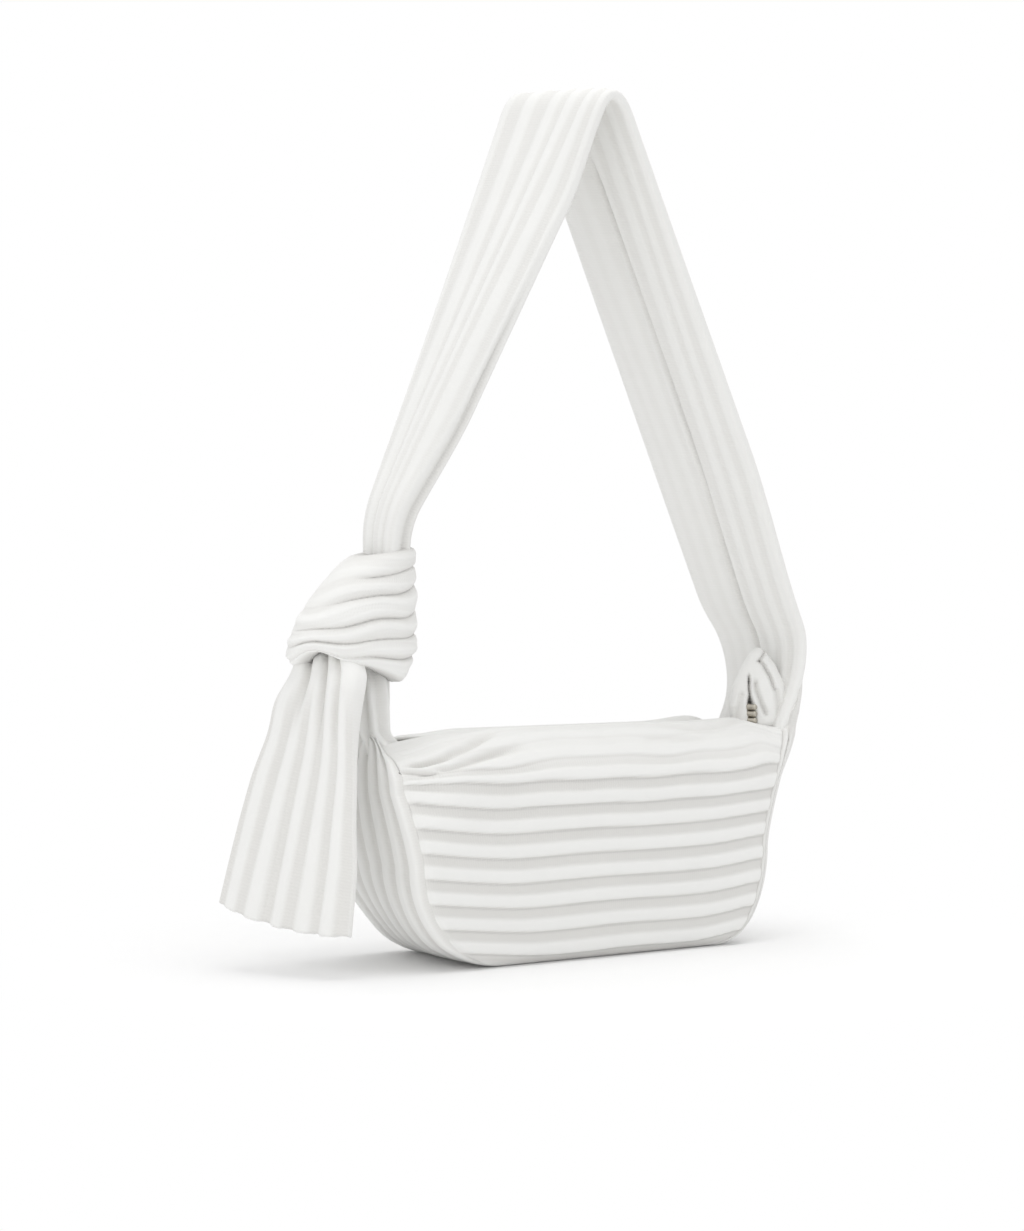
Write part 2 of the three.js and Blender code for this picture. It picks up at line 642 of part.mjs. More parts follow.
addPiece("shoulder_strap", flatTube(strapPath, [0, ...strapShares], strapWidth, strapWall, strapSlope), ivory);

// Knot: rolled cloth up the middle, and the wrap round it in fanning bands
const coreRings = steps(0, 1, 4).map((t) =>
  steps(0, 2 * Math.PI, ringSteps).slice(0, -1).map((angle) => new THREE.Vector3(
    lerp(neckX, knotStrapX, t) + coreRadius * Math.cos(angle),
    coreRadius * Math.sin(angle),
    lerp(pivotHeight, knotTop, t),
  )));
addPiece("knot_core", loft(coreRings), ivory);

// A point of the wrap at a share t of its height: from a wide foot that holds the tail, on the left, to a
// crown close round the strap, on the right.
function wrapPoint(angle, t, depth) {
  const spread = 1 - t ** 1.3;
  const crownLeft = knotRight - 2 * knotCrownHalfLength;
  const halfLength = (knotRight - lerp(crownLeft, knotLeft, spread)) / 2;
  const halfWidth = lerp(knotCrownHalfDepth, knotHalfDepth, spread);
  const aside = (1 - Math.cos(angle)) / 2; // 0 at the right of the knot, 1 at its left
  const bottom = lerp(pivotHeight, knotLeftBottom, smooth(aside, 0.1, 0.6));
  return new THREE.Vector3(
    knotRight - halfLength + (halfLength - depth) * Math.cos(angle),
    (halfWidth - depth) * Math.sin(angle),
    lerp(bottom, knotTop, t),
  );
}
function wrapSection(angle) {
  const outside = steps(0, 1, 4 * knotBands).map((t) => {
    const band = Math.abs(Math.sin(Math.PI * knotBands * t)) ** 0.6;
    return wrapPoint(angle, t, bandBulge * (1 - band));
  });
  const inside = steps(1, 0, 6).map((t) => wrapPoint(angle, t, knotWall + bandBulge));
  return [...outside, ...inside];
}
addPiece("knot_wrap", loft(steps(0, 2 * Math.PI, knotSteps).slice(0, -1).map(wrapSection), true), ivory);

// Tail: a flat tube with folds that open out from the knot to the hem. Its top is round about the hinge.
const capEdge = 0.01;
const turn = radians(tailTurn);
const tilt = radians(tailTilt);
const flatWidth = new THREE.Vector3(Math.cos(turn), -Math.sin(turn), 0);
const down = new THREE.Vector3(0, 0, -1);
const outward = new THREE.Vector3(-Math.sin(turn), -Math.cos(turn), 0);
const tailWidth = flatWidth.clone().multiplyScalar(Math.cos(tilt)).addScaledVector(down, Math.sin(tilt));
const tailDown = down.clone().multiplyScalar(Math.cos(tilt)).addScaledVector(flatWidth, -Math.sin(tilt));
tailDown.addScaledVector(outward, Math.tan(radians(tailLean)));
// From the hinge to the tail's highest edge
const tailRise = tailNeckHalfWall + tailNeckHalfWidth * Math.sin(tilt);
const tailHinge = new THREE.Vector3(tailX, tailY, knotLeftBottom - tailRise + 2 * seamGap);
const tailBack = steps(0, quarterTurn, 4).slice(1).map((angle) => -Math.sin(angle)).reverse();
const tailCap = tailBack.map((share) => {
  const centre = tailHinge.clone().addScaledVector(tailDown, tailNeckHalfWall * share);
  const halfWall = tailNeckHalfWall * Math.sqrt(Math.max(1 - share ** 2, capEdge));
  return flatOutline(tailNeckHalfWidth, halfWall, 2 * ringSteps).map(([width, wall]) =>
    centre.clone().addScaledVector(tailWidth, width).addScaledVector(outward, wall));
});
const tailRings = steps(0, 1, 14).map((t) => {
  const spread = smooth(t, 0, 0.4);
  const centre = tailHinge.clone().addScaledVector(tailDown, tailLength * t);
  const halfWidth = lerp(tailNeckHalfWidth, tailHalfWidth, 0.35 * t + 0.65 * spread);
  const halfWall = lerp(tailNeckHalfWall, tailHalfWall, spread);
  return flatOutline(halfWidth, halfWall, 2 * ringSteps).map(([width, wall]) => {
    const wave = Math.cos((tailFolds * Math.PI * width) / halfWidth);
    const fold = foldDepth * (1 - 0.6 * t) * smooth(t, 0, 0.2) * wave;
    return centre.clone().addScaledVector(tailWidth, width).addScaledVector(outward, wall + fold);
  });
});
addPiece("knot_tail", loft([...tailCap, ...tailRings]), ivory);

export default bag;
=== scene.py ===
"""Ribbed-knit shoulder bag with a knotted strap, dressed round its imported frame.

Surfaces are worked out in millimetres, in the frame's own axes: the front faces -Y, +Z is up and the knot
is on the -X side. They become metres when a mesh is made from them.
"""

import math

import bpy
import numpy as np
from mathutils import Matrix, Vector


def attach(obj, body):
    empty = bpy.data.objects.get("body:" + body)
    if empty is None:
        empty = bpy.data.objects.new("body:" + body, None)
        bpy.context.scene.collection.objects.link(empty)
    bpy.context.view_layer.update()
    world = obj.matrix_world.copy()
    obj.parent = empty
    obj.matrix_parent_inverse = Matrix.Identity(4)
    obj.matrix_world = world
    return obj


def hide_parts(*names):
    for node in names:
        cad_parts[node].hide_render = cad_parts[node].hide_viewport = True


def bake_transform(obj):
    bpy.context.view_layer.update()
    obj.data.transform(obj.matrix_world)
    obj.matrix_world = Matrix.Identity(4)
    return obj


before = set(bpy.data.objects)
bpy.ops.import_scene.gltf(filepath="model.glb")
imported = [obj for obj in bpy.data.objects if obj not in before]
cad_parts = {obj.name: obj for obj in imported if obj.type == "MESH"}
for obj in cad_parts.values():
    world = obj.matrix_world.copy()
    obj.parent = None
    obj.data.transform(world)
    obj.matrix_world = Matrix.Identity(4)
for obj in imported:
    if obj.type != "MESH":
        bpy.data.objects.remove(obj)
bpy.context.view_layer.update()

bl_info = {
    "name": "Knotted knit bag",
    "version": (1, 0, 0),
    "blender": (4, 5, 0),
    "location": "View3D > Sidebar > Bag",
    "description": "Dresses the frame of a shoulder bag in ribbed knit, with its zip, lining and studio",
    "category": "Object",
}

MM = 0.001
CM = 0.1  # centimetres in a millimetre, the unit of the knit's UV map
TURN = 2 * math.pi
QUARTER = math.pi / 2

# The bag's two sides: direction along Y, and name
SIDES = ((-1, "front"), (1, "back"))

# Body, as in the frame
HALF_DEPTH = 47.0
HALF_LENGTH = 126.0
CORNER_RISE = 57.0
FOLD_HEIGHT = 98.0
TOP_HEIGHT = 131.0
MOUTH_LEFT = 95.0
MOUTH_RIGHT = 115.0
MOUTH_EDGE = 6.5
MOUTH_TURN = math.radians(125)
CREST_DEPTH = (MOUTH_EDGE - HALF_DEPTH * math.cos(MOUTH_TURN)) / (1 - math.cos(MOUTH_TURN))

# How cloth differs from the frame's stiff body: two corners drawn in, and fuller sides. Then a point inside
REAR_CORNER_IN = 17.0
TOP_CORNER_IN = 12.0
FULLNESS = 0.06
INSIDE = np.array([0.0, 0.0, 60.0])

# Front, back and gusset: ribs, the length of each end, distances along at k = 0 to 3, rows, walls and folds
RIB_PITCH = 13.8
FIRST_RIB = 5.7
LEFT_END = 38.0
RIGHT_END = 36.0
FRONT_STATIONS = (-MOUTH_LEFT - LEFT_END, -MOUTH_LEFT, MOUTH_RIGHT, MOUTH_RIGHT + RIGHT_END)
ROW_SPACING = 0.9
PANEL_WALL = 4.6
MOUTH_WALL = 2.2
GUSSET_WALL = 2.0
EDGE_CROWDING = 0.97  # share of a quarter turn: near 1, the gusset's points lie closer towards its edges
GATHER_FADE = 0.65

# Lining and pocket: depths below the body surface, walls and spans
LINING_DEPTH = 5.6
LINING_WALL = 0.7
FACING_DEPTH = 2.7
GUSSET_LINING_DEPTH = 5.0
GUSSET_LINING_WALL = 0.6
GUSSET_LINING_INSET = 7.0
GUSSET_LINING_TOP = 99.0
POCKET_X = (-45.0, 65.0)
POCKET_Y = (39.4, 40.2)
POCKET_Z = (24.0, 86.0)

# Zip, as in the frame
ZIP_HEIGHT = 122.42
TAPE_EDGE = 2.5
TAPE_HALF_WALL = 0.35
TAPE_UNDER = 2.9
TAPE_BEND = (-5.2, 122.6)
TAPE_SPAN = (-94.7, 114.7)
TOOTH_PITCH = 4.0
TOOTH_REACH = 0.8
TEETH_SPAN = (-91.0, 108.0)
STOP_X = 113.1
ZIP_END = (131.9, -22.2, 125.0)
TAB_HEIGHT = 121.4
TAB_HALF_WIDTH = 5.9
TABS = (("left", -106.3, -95.3), ("right", 115.3, 126.3))

# Strap, knot and tail, as in the frame. A pair is a size that changes: up the neck, down the knot, and away
# from the knot along the strap and the tail
STRAP_APEX = np.array([10.5, 503.0])
STRAP_FOOT = np.array([159.0, 187.0])
KNOT_ENTRY = np.array([-115.0, 231.0])
KNOT_LEAD = 14.0
KNOT_BURIED = 12.0
ROOT_START = (147.0, 126.3)
ROOT_END = (145.5, 118.0)
CROWN_BLEND = 26.0
CROWN_TILT = math.tan(math.radians(6))
STRAP_NARROW = 14.0
STRAP_WIDE = 46.0
STRAP_WALL = (9.0, 4.0)
WIDENED = 0.44  # share of the strap over which it widens
NECK_X = -122.0
NECK_FOOT = 117.0
NECK_TOP = 186.0
NECK_HALF_LENGTH = (18.0, 8.5)
NECK_HALF_DEPTH = (17.5, 9.0)
KNOT_RIGHT = -100.0
KNOT_LEFT = (-136.0, -177.0)
KNOT_HALF_DEPTH = (15.5, 24.0)
KNOT_FOOT = (157.0, 166.0)  # on its right and on its left
TAIL_HINGE = np.array([-158.5, -10.0, 162.2])
TAIL_TURN = math.radians(71)
TAIL_TILT = math.radians(8)
TAIL_LEAN = math.tan(math.radians(7.6))
TAIL_LENGTH = 133.0
TAIL_NARROW = 22.0
TAIL_WIDE = 45.0
TAIL_WALL = (8.5, 3.6)
SECTION_POINTS = 84

# Studio, in metres: lamps by name, share of the key lamp's power, size and place
LAMPS = (
    ("key", 1.0, 2.2, (0.24, -0.16, 2.75)),
    ("fill", 0.13, 1.6, (-1.85, -0.5, 0.9)),
    ("bounce", 0.06, 1.6, (-1.3, -1.5, 0.5)),
)
LAMP_TARGET = (0, 0, 0.15)
FLOOR_FADE = (0.14, 0.34)
CAMERA_PLACE = (-1.0215, -1.3177, 0.2125)
CAMERA_TARGET = (-0.0285, 0, 0.1925)
PHOTO_HEIGHT = 1231
FOCAL_PIXELS = 2900
SENSOR = 36
SHOWN_RAYS = ("Camera", "Glossy", "Transmission")

# Cloth patterns, in repeats to a centimetre
COURSES = 6.0
STITCH_LEGS = 4.2
WEAVE = 20.0
TWILL = 12.0

# Helpers for shapes


def smooth(x, start=0.0, stop=1.0):
    """A soft step from 0 at start to 1 at stop: 3t^2 - 2t^3."""
    t = np.clip((np.asarray(x, float) - start) / (stop - start), 0, 1)
    return t * t * (3 - 2 * t)


def bell(x, middle, width):
    """A soft peak of height 1: exp(-((x - middle) / width)^2)."""
    return np.exp(-(((x - middle) / width) ** 2))


def mix(a, b, t):
    """The value a share t of the way from a to b."""
    return a + (b - a) * t


def round_edge(t):
    """A quarter circle's fall at a share t from its edge: 1 - sqrt(1 - (1 - t)^2)."""
    return 1 - np.sqrt(1 - (1 - np.clip(t, 0, 1)) ** 2)


def unit(vectors):
    """Vectors of length 1 in the same directions."""
    return vectors / np.maximum(np.linalg.norm(vectors, axis=-1, keepdims=True), 1e-9)


def stack(x, y, z):
    """Points from arrays of coordinates of any shapes that fit each other."""
    return np.stack(np.broadcast_arrays(np.asarray(x, float), y, z), -1)


def cloth_map(across, along):
    """A UV map in centimetres, from millimetres across the ribs and along them."""
    return np.stack(np.broadcast_arrays(across, along), -1) * CM


def columns_of(table):
    """Each column of a table, upright, so that it spreads over the rows of a grid."""
    return (table[:, n][:, None] for n in range(table.shape[1]))


def lengths(points):
    """Distance along a line of points, from 0 at its first point."""
    return np.concatenate([[0], np.cumsum(np.linalg.norm(np.diff(points, axis=0), axis=1))])


def resample(points, spacing):
    """The same line with points an even spacing apart."""
    along = lengths(points)
    even = np.linspace(0, along[-1], max(int(round(along[-1] / spacing)), 2) + 1)
    return np.stack([np.interp(even, along, axis) for axis in points.T], 1)


def bezier(start, control, stop, count=24):
    """A quadratic curve: (1-t)^2 start + 2t(1-t) control + t^2 stop."""
    t = np.linspace(0, 1, count)[:, None]
    return (1 - t) ** 2 * start + 2 * t * (1 - t) * control + t**2 * np.asarray(stop)


def ring_angles(count):
    """Angles round a ring: one for each of its points, and the same with the way back to the first."""
    around = np.linspace(0, TURN, count + 1)[None, :]
    return around[:, :-1], around


def stepped_rib(across):
    """A rib per unit: a sharp step at each whole number, a full rib, then a soft fall to a recess."""
    t = across % 1
    full = 0.86 + 0.14 * np.sin(np.pi * np.clip(t / 0.6, 0, 1))
    return smooth(t, 0, 0.07) * (1 - smooth(t, 0.45, 0.66)) * full


def soft_rib(across):
    """A rib per unit, as soft on both its sides: up from 0.06 to 0.26 and down from 0.58 to 0.8."""
    t = across % 1
    return smooth(t, 0.06, 0.26) * (1 - smooth(t, 0.58, 0.8))


def pillows(across, creases):
    """Round bands between creases: sqrt(4t(1-t)) over each band, times the root of its width."""
    n = np.clip(np.searchsorted(creases, across, side="right") - 1, 0, len(creases) - 2)
    width = creases[n + 1] - creases[n]
    t = np.clip((across - creases[n]) / width, 0, 1)
    return np.sqrt(4 * t * (1 - t)) * np.sqrt(width / np.mean(np.diff(creases)))


def cloth_ring(count):
    """One turn round a flat tube: w across it, from -1 to 1 and back, and its side, 1 out and -1 in."""
    w = np.sin(np.linspace(-1, 1, count) * QUARTER)
    side = np.repeat([1.0, -1.0], [count, count - 2])
    return np.concatenate([w, w[::-1][1:-1]])[None, :], side[None, :]


def flat_section(w):
    """Half the thickness of a flat tube at w across it: (1 - w^4)^(1/4)."""
    return np.sqrt(np.sqrt(np.maximum(1 - w**4, 0)))


def folds_between(folds, first, second, fade):
    """Folds pressed along lines: -depth (1 - 0.6 d^2) exp(-d^2) at d half widths from a fold's line, with a
    soft start, and less and less from a share of the line to its far end."""
    total = np.zeros(np.broadcast(first, second).shape)
    for line, depth, half_width in folds:
        path = resample(np.array(line, float), 1.5)
        apart = np.stack([(first - x) ** 2 + (second - y) ** 2 for x, y in path])
        share = np.linspace(0, 1, len(path))[apart.argmin(0)]
        d2 = apart.min(0) / half_width**2
        strength = depth * smooth(share, -0.02, 0.15) * (1 - smooth(share, fade, 1))
        total -= strength * (1 - 0.6 * d2) * np.exp(-d2)
    return total


class Skin:
    """Gathers the points and faces of one closed piece, with a UV map and a rib attribute that holds the
    rib pattern and painted shade.
    """

    def __init__(self):
        self.points = []
        self.uvs = []
        self.ribs = []
        self.faces = []
        self.corner_uvs = []
        self.count = 0

    def put(self, points, uv, rib):
        """Adds loose points and returns their numbers, in the shape of the grid."""
        shape = points.shape[:-1]
        numbers = self.count + np.arange(np.prod(shape)).reshape(shape)
        self.points.append(points.reshape(-1, 3))
        self.uvs.append(np.broadcast_to(uv, shape + (2,)).reshape(-1, 2))
        self.ribs.append(np.broadcast_to(rib, shape).ravel())
        self.count += numbers.size
        return numbers

    def face(self, numbers, uv=None):
        """Adds faces from rows of point numbers; their UVs are those of the points unless given."""
        self.faces.append(numbers)
        self.corner_uvs.append(np.concatenate(self.uvs)[numbers] if uv is None else uv)

    def grid(self, points, uv, rib=0.5, wrap=False, flip=False):
        """Adds a grid of quads. A wrapped grid joins its last column to its first."""
        rows, columns = points.shape[:2]
        uv = np.broadcast_to(uv, (rows, uv.shape[1], 2))
        numbers = self.put(points, uv[:, :columns], rib)
        r, c = np.indices((rows - 1, columns if wrap else columns - 1)).reshape(2, -1)
        corner_r = np.stack([r, r, r + 1, r + 1], 1)
        corner_c = np.stack([c, c + 1, c + 1, c], 1)
        if flip:
            corner_r, corner_c = corner_r[:, ::-1], corner_c[:, ::-1]
        self.face(numbers[corner_r, corner_c % columns], uv[corner_r, corner_c])
        return numbers

    def join(self, line, other):
        """Joins two lines of points with a strip of quads."""
        self.face(np.stack([line[1:], line[:-1], other[:-1], other[1:]], 1))

    def cap(self, ring, last):
        """Closes a ring of points with a fan round its middle."""
        points, uvs = np.concatenate(self.points), np.concatenate(self.uvs)
        middle = self.put(points[ring].mean(0)[None], uvs[ring].mean(0)[None], 0.5)
        following = np.roll(ring, -1)
        pair = [ring, following] if last else [following, ring]
        self.face(np.stack(pair + [np.full(len(ring), middle[0])], 1))

    def shell(self, outer, inner, uv, rib=0.5, wrap=False):
        """A wall: an outer and an inner grid, joined along their free edges."""
        o = self.grid(outer, uv, rib, wrap)
        i = self.grid(inner, uv, rib, wrap, flip=True)
        along = np.arange(o.shape[1] + wrap) % o.shape[1]
        self.join(o[0, along], i[0, along])
        self.join(o[-1, along[::-1]], i[-1, along[::-1]])
        if not wrap:
            self.join(o[:, 0][::-1], i[:, 0][::-1])
            self.join(o[:, -1], i[:, -1])
        return self

    def tube(self, rings, uv, rib=0.5):
        """A closed tube through rings of points, capped at both ends."""
        numbers = self.grid(rings, uv, rib, wrap=True)
        self.cap(numbers[0], last=False)
        self.cap(numbers[-1], last=True)
        return self

    def build(self, name, material):
        """Makes the mesh object, its faces turned outwards."""
        points = np.concatenate(self.points)
        fans = [f[:, [0, n, n + 1]] for f in self.faces for n in range(1, f.shape[1] - 1)]
        a, b, c = points[np.concatenate(fans).T]
        inside_out = np.einsum("ij,ij->i", a, np.cross(b, c)).sum() < 0
        turn = slice(None, None, -1 if inside_out else 1)
        faces = sum((f[:, turn].tolist() for f in self.faces), [])
        uvs = np.concatenate([uv[:, turn].reshape(-1, 2) for uv in self.corner_uvs])

        mesh = bpy.data.meshes.new(name)
        mesh.from_pydata(points * MM, [], faces, shade_flat=False)
        mesh.uv_layers.new(name="knit").data.foreach_set("uv", uvs.astype(np.float32).ravel())
        # The rib attribute holds painted shade as well as the rib pattern: the knit's colour is darkened by
        # it
        rib = mesh.attributes.new("rib", "FLOAT", "POINT")
        rib.data.foreach_set("value", np.concatenate(self.ribs).astype(np.float32))
        if mesh.validate():
            raise RuntimeError(f"{name} has faces that Blender had to mend")
        piece = bpy.data.objects.new(name, mesh)
        bpy.context.scene.collection.objects.link(piece)
        mesh.materials.append(material)
        return piece


def walled(base, lift, wall, uv, rib=0.5):
    """A wall along a surface: the surface moved out along its normals by lift, and in by wall."""
    normals = unit(np.cross(np.gradient(base, axis=1), np.gradient(base, axis=0)))
    outward = np.sign(np.sum((base - INSIDE) * normals)) * normals
    outer = base + outward * np.asarray(lift)[..., None]
    inner = base - outward * np.asarray(wall)[..., None]
    return Skin().shell(outer, inner, uv, rib)


# Body surface


class BodyEnd:
    """One end of the body: how far it reaches from the origin, and how deep it is, at a height."""

    def __init__(self, flat, top, fold_depth, top_depth, lean):
        self.flat = flat
        self.top = top
        self.fold_depth = fold_depth
        self.top_depth = top_depth
        self.lean = lean

    def reach(self, z):
        """A quarter ellipse up to the corner's rise, then the end's own lean."""
        t = np.minimum(z / CORNER_RISE, 1)
        round_corner = self.flat + (HALF_LENGTH - self.flat) * np.sqrt(np.maximum(1 - (1 - t) ** 2, 0))
        return round_corner + self.lean(np.maximum(z - CORNER_RISE, 0) / (self.top - CORNER_RISE))

    def depth(self, z):
        """The full half depth at the corner, drawn in to the fold line and then round over the top."""
        t = np.clip((z - CORNER_RISE) / (FOLD_HEIGHT - CORNER_RISE), 0, 1)
        over = np.clip((z - FOLD_HEIGHT) / (self.top - FOLD_HEIGHT), 0, 1)
        low = mix(HALF_DEPTH, self.fold_depth, t * t)
        high = mix(self.top_depth, self.fold_depth, np.sqrt(1 - over**2))
        return np.where(z <= FOLD_HEIGHT, low, high)

    def line(self):
        """The end's edge from the base to its top, as rows of reach, depth and height."""
        corner = CORNER_RISE * (1 - np.cos(np.linspace(0, QUARTER, 60)))
        z = np.concatenate([corner, np.linspace(CORNER_RISE, self.top, 60)[1:]])
        return np.stack([self.reach(z), self.depth(z), z], 1)


LEFT = BodyEnd(66, 126, 37, 12, lambda t: 13 * t - 11 * t**4)
RIGHT = BodyEnd(88, 124, 43, 38, lambda t: 31 * t**1.45)


def front_points(k, v, tuck=0.0):
    """The front's skin. k is 0 to 1 over the left end, to 2 over the mouth and to 3 over the right end.
    v is 0 to 1 straight up the front, then 1 to 2 along an elliptic arc. tuck draws the ends in."""
    k, v = np.broadcast_arrays(k, v)
    low = np.minimum(v, 1) * FOLD_HEIGHT
    over = np.maximum(v - 1, 0)
    on_left = k < 1.5
    share = np.maximum(np.maximum(1 - k, k - 2), 0)
    pull = smooth(share)
    turn = over * MOUTH_TURN

    end_top = np.where(on_left, LEFT.top, RIGHT.top)
    end_z = low + (end_top - FOLD_HEIGHT) * np.sin(over * QUARTER)
    end_x = np.where(on_left, tuck - LEFT.reach(end_z), RIGHT.reach(end_z) - tuck)
    end_y = np.where(on_left, LEFT.depth(end_z), RIGHT.depth(end_z))
    start = -MOUTH_LEFT * LEFT.reach(low) / LEFT.reach(FOLD_HEIGHT)
    stop = MOUTH_RIGHT * RIGHT.reach(low) / RIGHT.reach(FOLD_HEIGHT)
    mouth_x = np.where(on_left, start, stop)

    x = np.where(share > 0, mix(mouth_x, end_x, share), mix(start, stop, k - 1))
    y = mix(CREST_DEPTH + (HALF_DEPTH - CREST_DEPTH) * np.cos(turn), end_y, pull)
    z = mix(low + (TOP_HEIGHT - FOLD_HEIGHT) * np.sin(turn), end_z, pull)
    return stack(x, -y, z)


def front_rows():
    """Rows of the front an even spacing apart: their v, and their distance up from the base."""
    v = np.linspace(0, 2, 2001)
    up = lengths(front_points(1.5, v))
    even = np.linspace(0, up[-1], int(up[-1] / ROW_SPACING) + 1)
    return np.interp(even, up, v), even


def settle(points):
    """Slumps the stiff shape as cloth does: the rear left corner and the back's top right corner are drawn
    in, the lower edges are round, both sides are a little full and the top of the back hangs lower."""
    x, y, z = np.moveaxis(points, -1, 0)
    rear = smooth(y, -30, HALF_DEPTH) * (1 - smooth(z, 10, 80)) * smooth(-x, 40, HALF_LENGTH)
    under = (1 - smooth(z, 0, 9)) * FULLNESS
    full = np.sin(np.pi * np.clip(z / TOP_HEIGHT, 0, 1)) * np.clip(1 - (x / 140) ** 2, 0, 1)
    lower = 1.5 + 2 * smooth(y, 2, 26) + 6 * smooth(-x, 50, 112)
    slack = lower * smooth(z, 100, TOP_HEIGHT) * smooth(np.abs(y), 6, 20) * (1 - smooth(x, 80, 130))
    drawn = TOP_CORNER_IN * smooth(x, 105, 158) * smooth(z, 96, 124) * smooth(y, 0, 38)
    return stack(x + REAR_CORNER_IN * rear, y * (1 - under + FULLNESS * full) - drawn, z - slack)


def body_points(side, k, v, tuck=0.0):
    """The settled skin of the front (side -1) or the back (side 1)."""
    return settle(front_points(k, v, tuck) * np.array([1, -side, 1]))


def mouth_weights(x, v=2.0):
    """How far the cloth follows its flap: nothing below the fold line (v up to 1) and at the mouth's two
    ends, where it is sewn together, and all of it in between."""
    return smooth(x, -72, 2) * (1 - smooth(x, 32, 112)) * smooth(v, 1.0, 1.1)


# Pieces of the body

# Folds in the top of the front, three that the knot draws into its left end and two at its right: points
# (distance along the front from its middle, distance up from the base), depth and half width of each
GATHER_FOLDS = (
    ([(-128, 131), (-118, 126), (-104, 126.5), (-88, 130), (-70, 136), (-56, 143)], 4.2, 3.6),
    ([(-116, 117), (-103, 115.5), (-91, 118), (-80, 120.5), (-64, 123), (-44, 125)], 3.8, 3.4),
    ([(-136, 128), (-131, 123), (-120, 116), (-108, 111)], 3.6, 3.0),
    ([(124, 141), (104, 135), (86, 133), (66, 136), (50, 140)], 2.2, 4.5),
    ([(34, 126), (52, 127), (70, 124), (92, 125)], 1.2, 3.5),
)


def panel_cloth(side, rib_height):
    """A front (side -1) or a back (side 1) with its wadding: the body surface, raised by its ribs, by the
    gathered folds and by cords along its right seam, and rounded down to the seam along its edges."""
    left, mouth, right = np.linspace(0, 1, 40), np.linspace(1, 2, 56), np.linspace(2, 3, 44)
    k = np.concatenate([left, mouth[1:], right[1:]])[None, :]
    v, up = (rows[:, None] for rows in front_rows())
    along = np.interp(k, [0, 1, 2, 3], FRONT_STATIONS)
    base = body_points(side, k, v, tuck=1.5)
    corner_in = 2.0 * smooth(base[..., 0], 145, 154) * smooth(base[..., 2], 106, 117)
    base = base - stack(corner_in, 0, 0)

    # The ribs' lines rise towards both ends, sink under the gathers and wander a little
    rise = 3.2 * smooth(along, 85, 145) + 5 * smooth(along, 105, 150) * smooth(up, 92, 112)
    rise = rise + 5.5 * (np.maximum(-along - 60, 0) / 73) ** 1.5
    rise = rise - 5 * smooth(-along, 15, 78) * smooth(up, 103, 112)
    rise = rise - 2 * bell(along, 52, 18) * smooth(up, 104, 113)
    rise = rise + 0.35 * np.sin(along / 19 + up / 31)
    rise = rise + 0.3 * np.sin(along / 8.3 - up / 17) * smooth(up, 60, 110)
    across = (up - rise - FIRST_RIB) / RIB_PITCH
    rib = stepped_rib(across)
    # Painted shadow: a dark line at the foot of each rib's step
    rib_foot_shadow = bell((across + 0.53) % 1, 0.5, 0.05)

    from_right = (3 - k) * RIGHT_END
    seam = np.minimum(np.minimum(k * LEFT_END, from_right), up)
    rounding = 3.6 * round_edge(seam / 8)
    ribbed = smooth(seam, 1, 7)
    calm = smooth(up, 102, 123)
    hem = 1 - smooth(v, 1.8, 1.95)
    pleat = 0.85 * folds_between(GATHER_FOLDS, along, up, GATHER_FADE) * smooth(seam, 0, 6) * hem
    strip = 1 - smooth(from_right, 8, 10)
    cords = np.abs(np.sin(math.pi * from_right / 4.2))
    lift = rib_height * rib * ribbed * (1 - 0.7 * calm) * hem
    lift = mix(lift, 2.0 * cords - 0.8, strip) + pleat - rounding
    wall = mix(PANEL_WALL, MOUTH_WALL, smooth(v, 1.0, 1.5)) + rounding - pleat

    # Painted shade: darker recesses and a shadow line under each rib, both paler towards the calm top;
    # shade painted between the cords by the right seam and in the gathered folds' valleys
    shade = mix(rib - rib_foot_shadow * hem * ribbed, 0.9, 0.85 * calm)
    shade = mix(shade, 1.3 * cords - 0.4, strip) - 0.27 * np.maximum(-pleat, 0)
    return walled(base, lift, wall, cloth_map(up, along), shade), mouth_weights(base[..., 0], v)


# The gusset's upper ends, as (x, half depth, z): tucked in at the neck, and a tongue on to the strap. Then
# how far the tongue leans to the front, by height
NECK_TUCK = ((-123.0, 4.0, 138.0), (-124.0, 6.0, 132.0))
TONGUE = ((158.6, 37.5, 134.0), (161.4, 38.4, 145.0), (163.3, 38.8, 156.0), (163.6, 39.0, 166.0))
TONGUE_FORWARD = ((124, 134, 145, 156, 166), (0.0, -2.0, -0.7, 1.2, 3.3))


def gusset_line():
    """The gusset's line from the neck down the left end, along the base and up the right end to the strap,
    as (x, half depth, z) for each point. At the top of the right end each point is the mean of five."""
    left = LEFT.line()[::-1] * (-1, 1, 1)
    line = resample(np.concatenate([NECK_TUCK, left, RIGHT.line(), TONGUE]), 1.7)
    flare = (smooth(line[:, 2], 100, 112) * (line[:, 0] > 0))[:, None]
    around = np.pad(line, ((2, 2), (0, 0)), mode="edge")
    eased = np.mean([around[n : n + len(line)] for n in range(5)], axis=0)
    return mix(line, eased, flare)


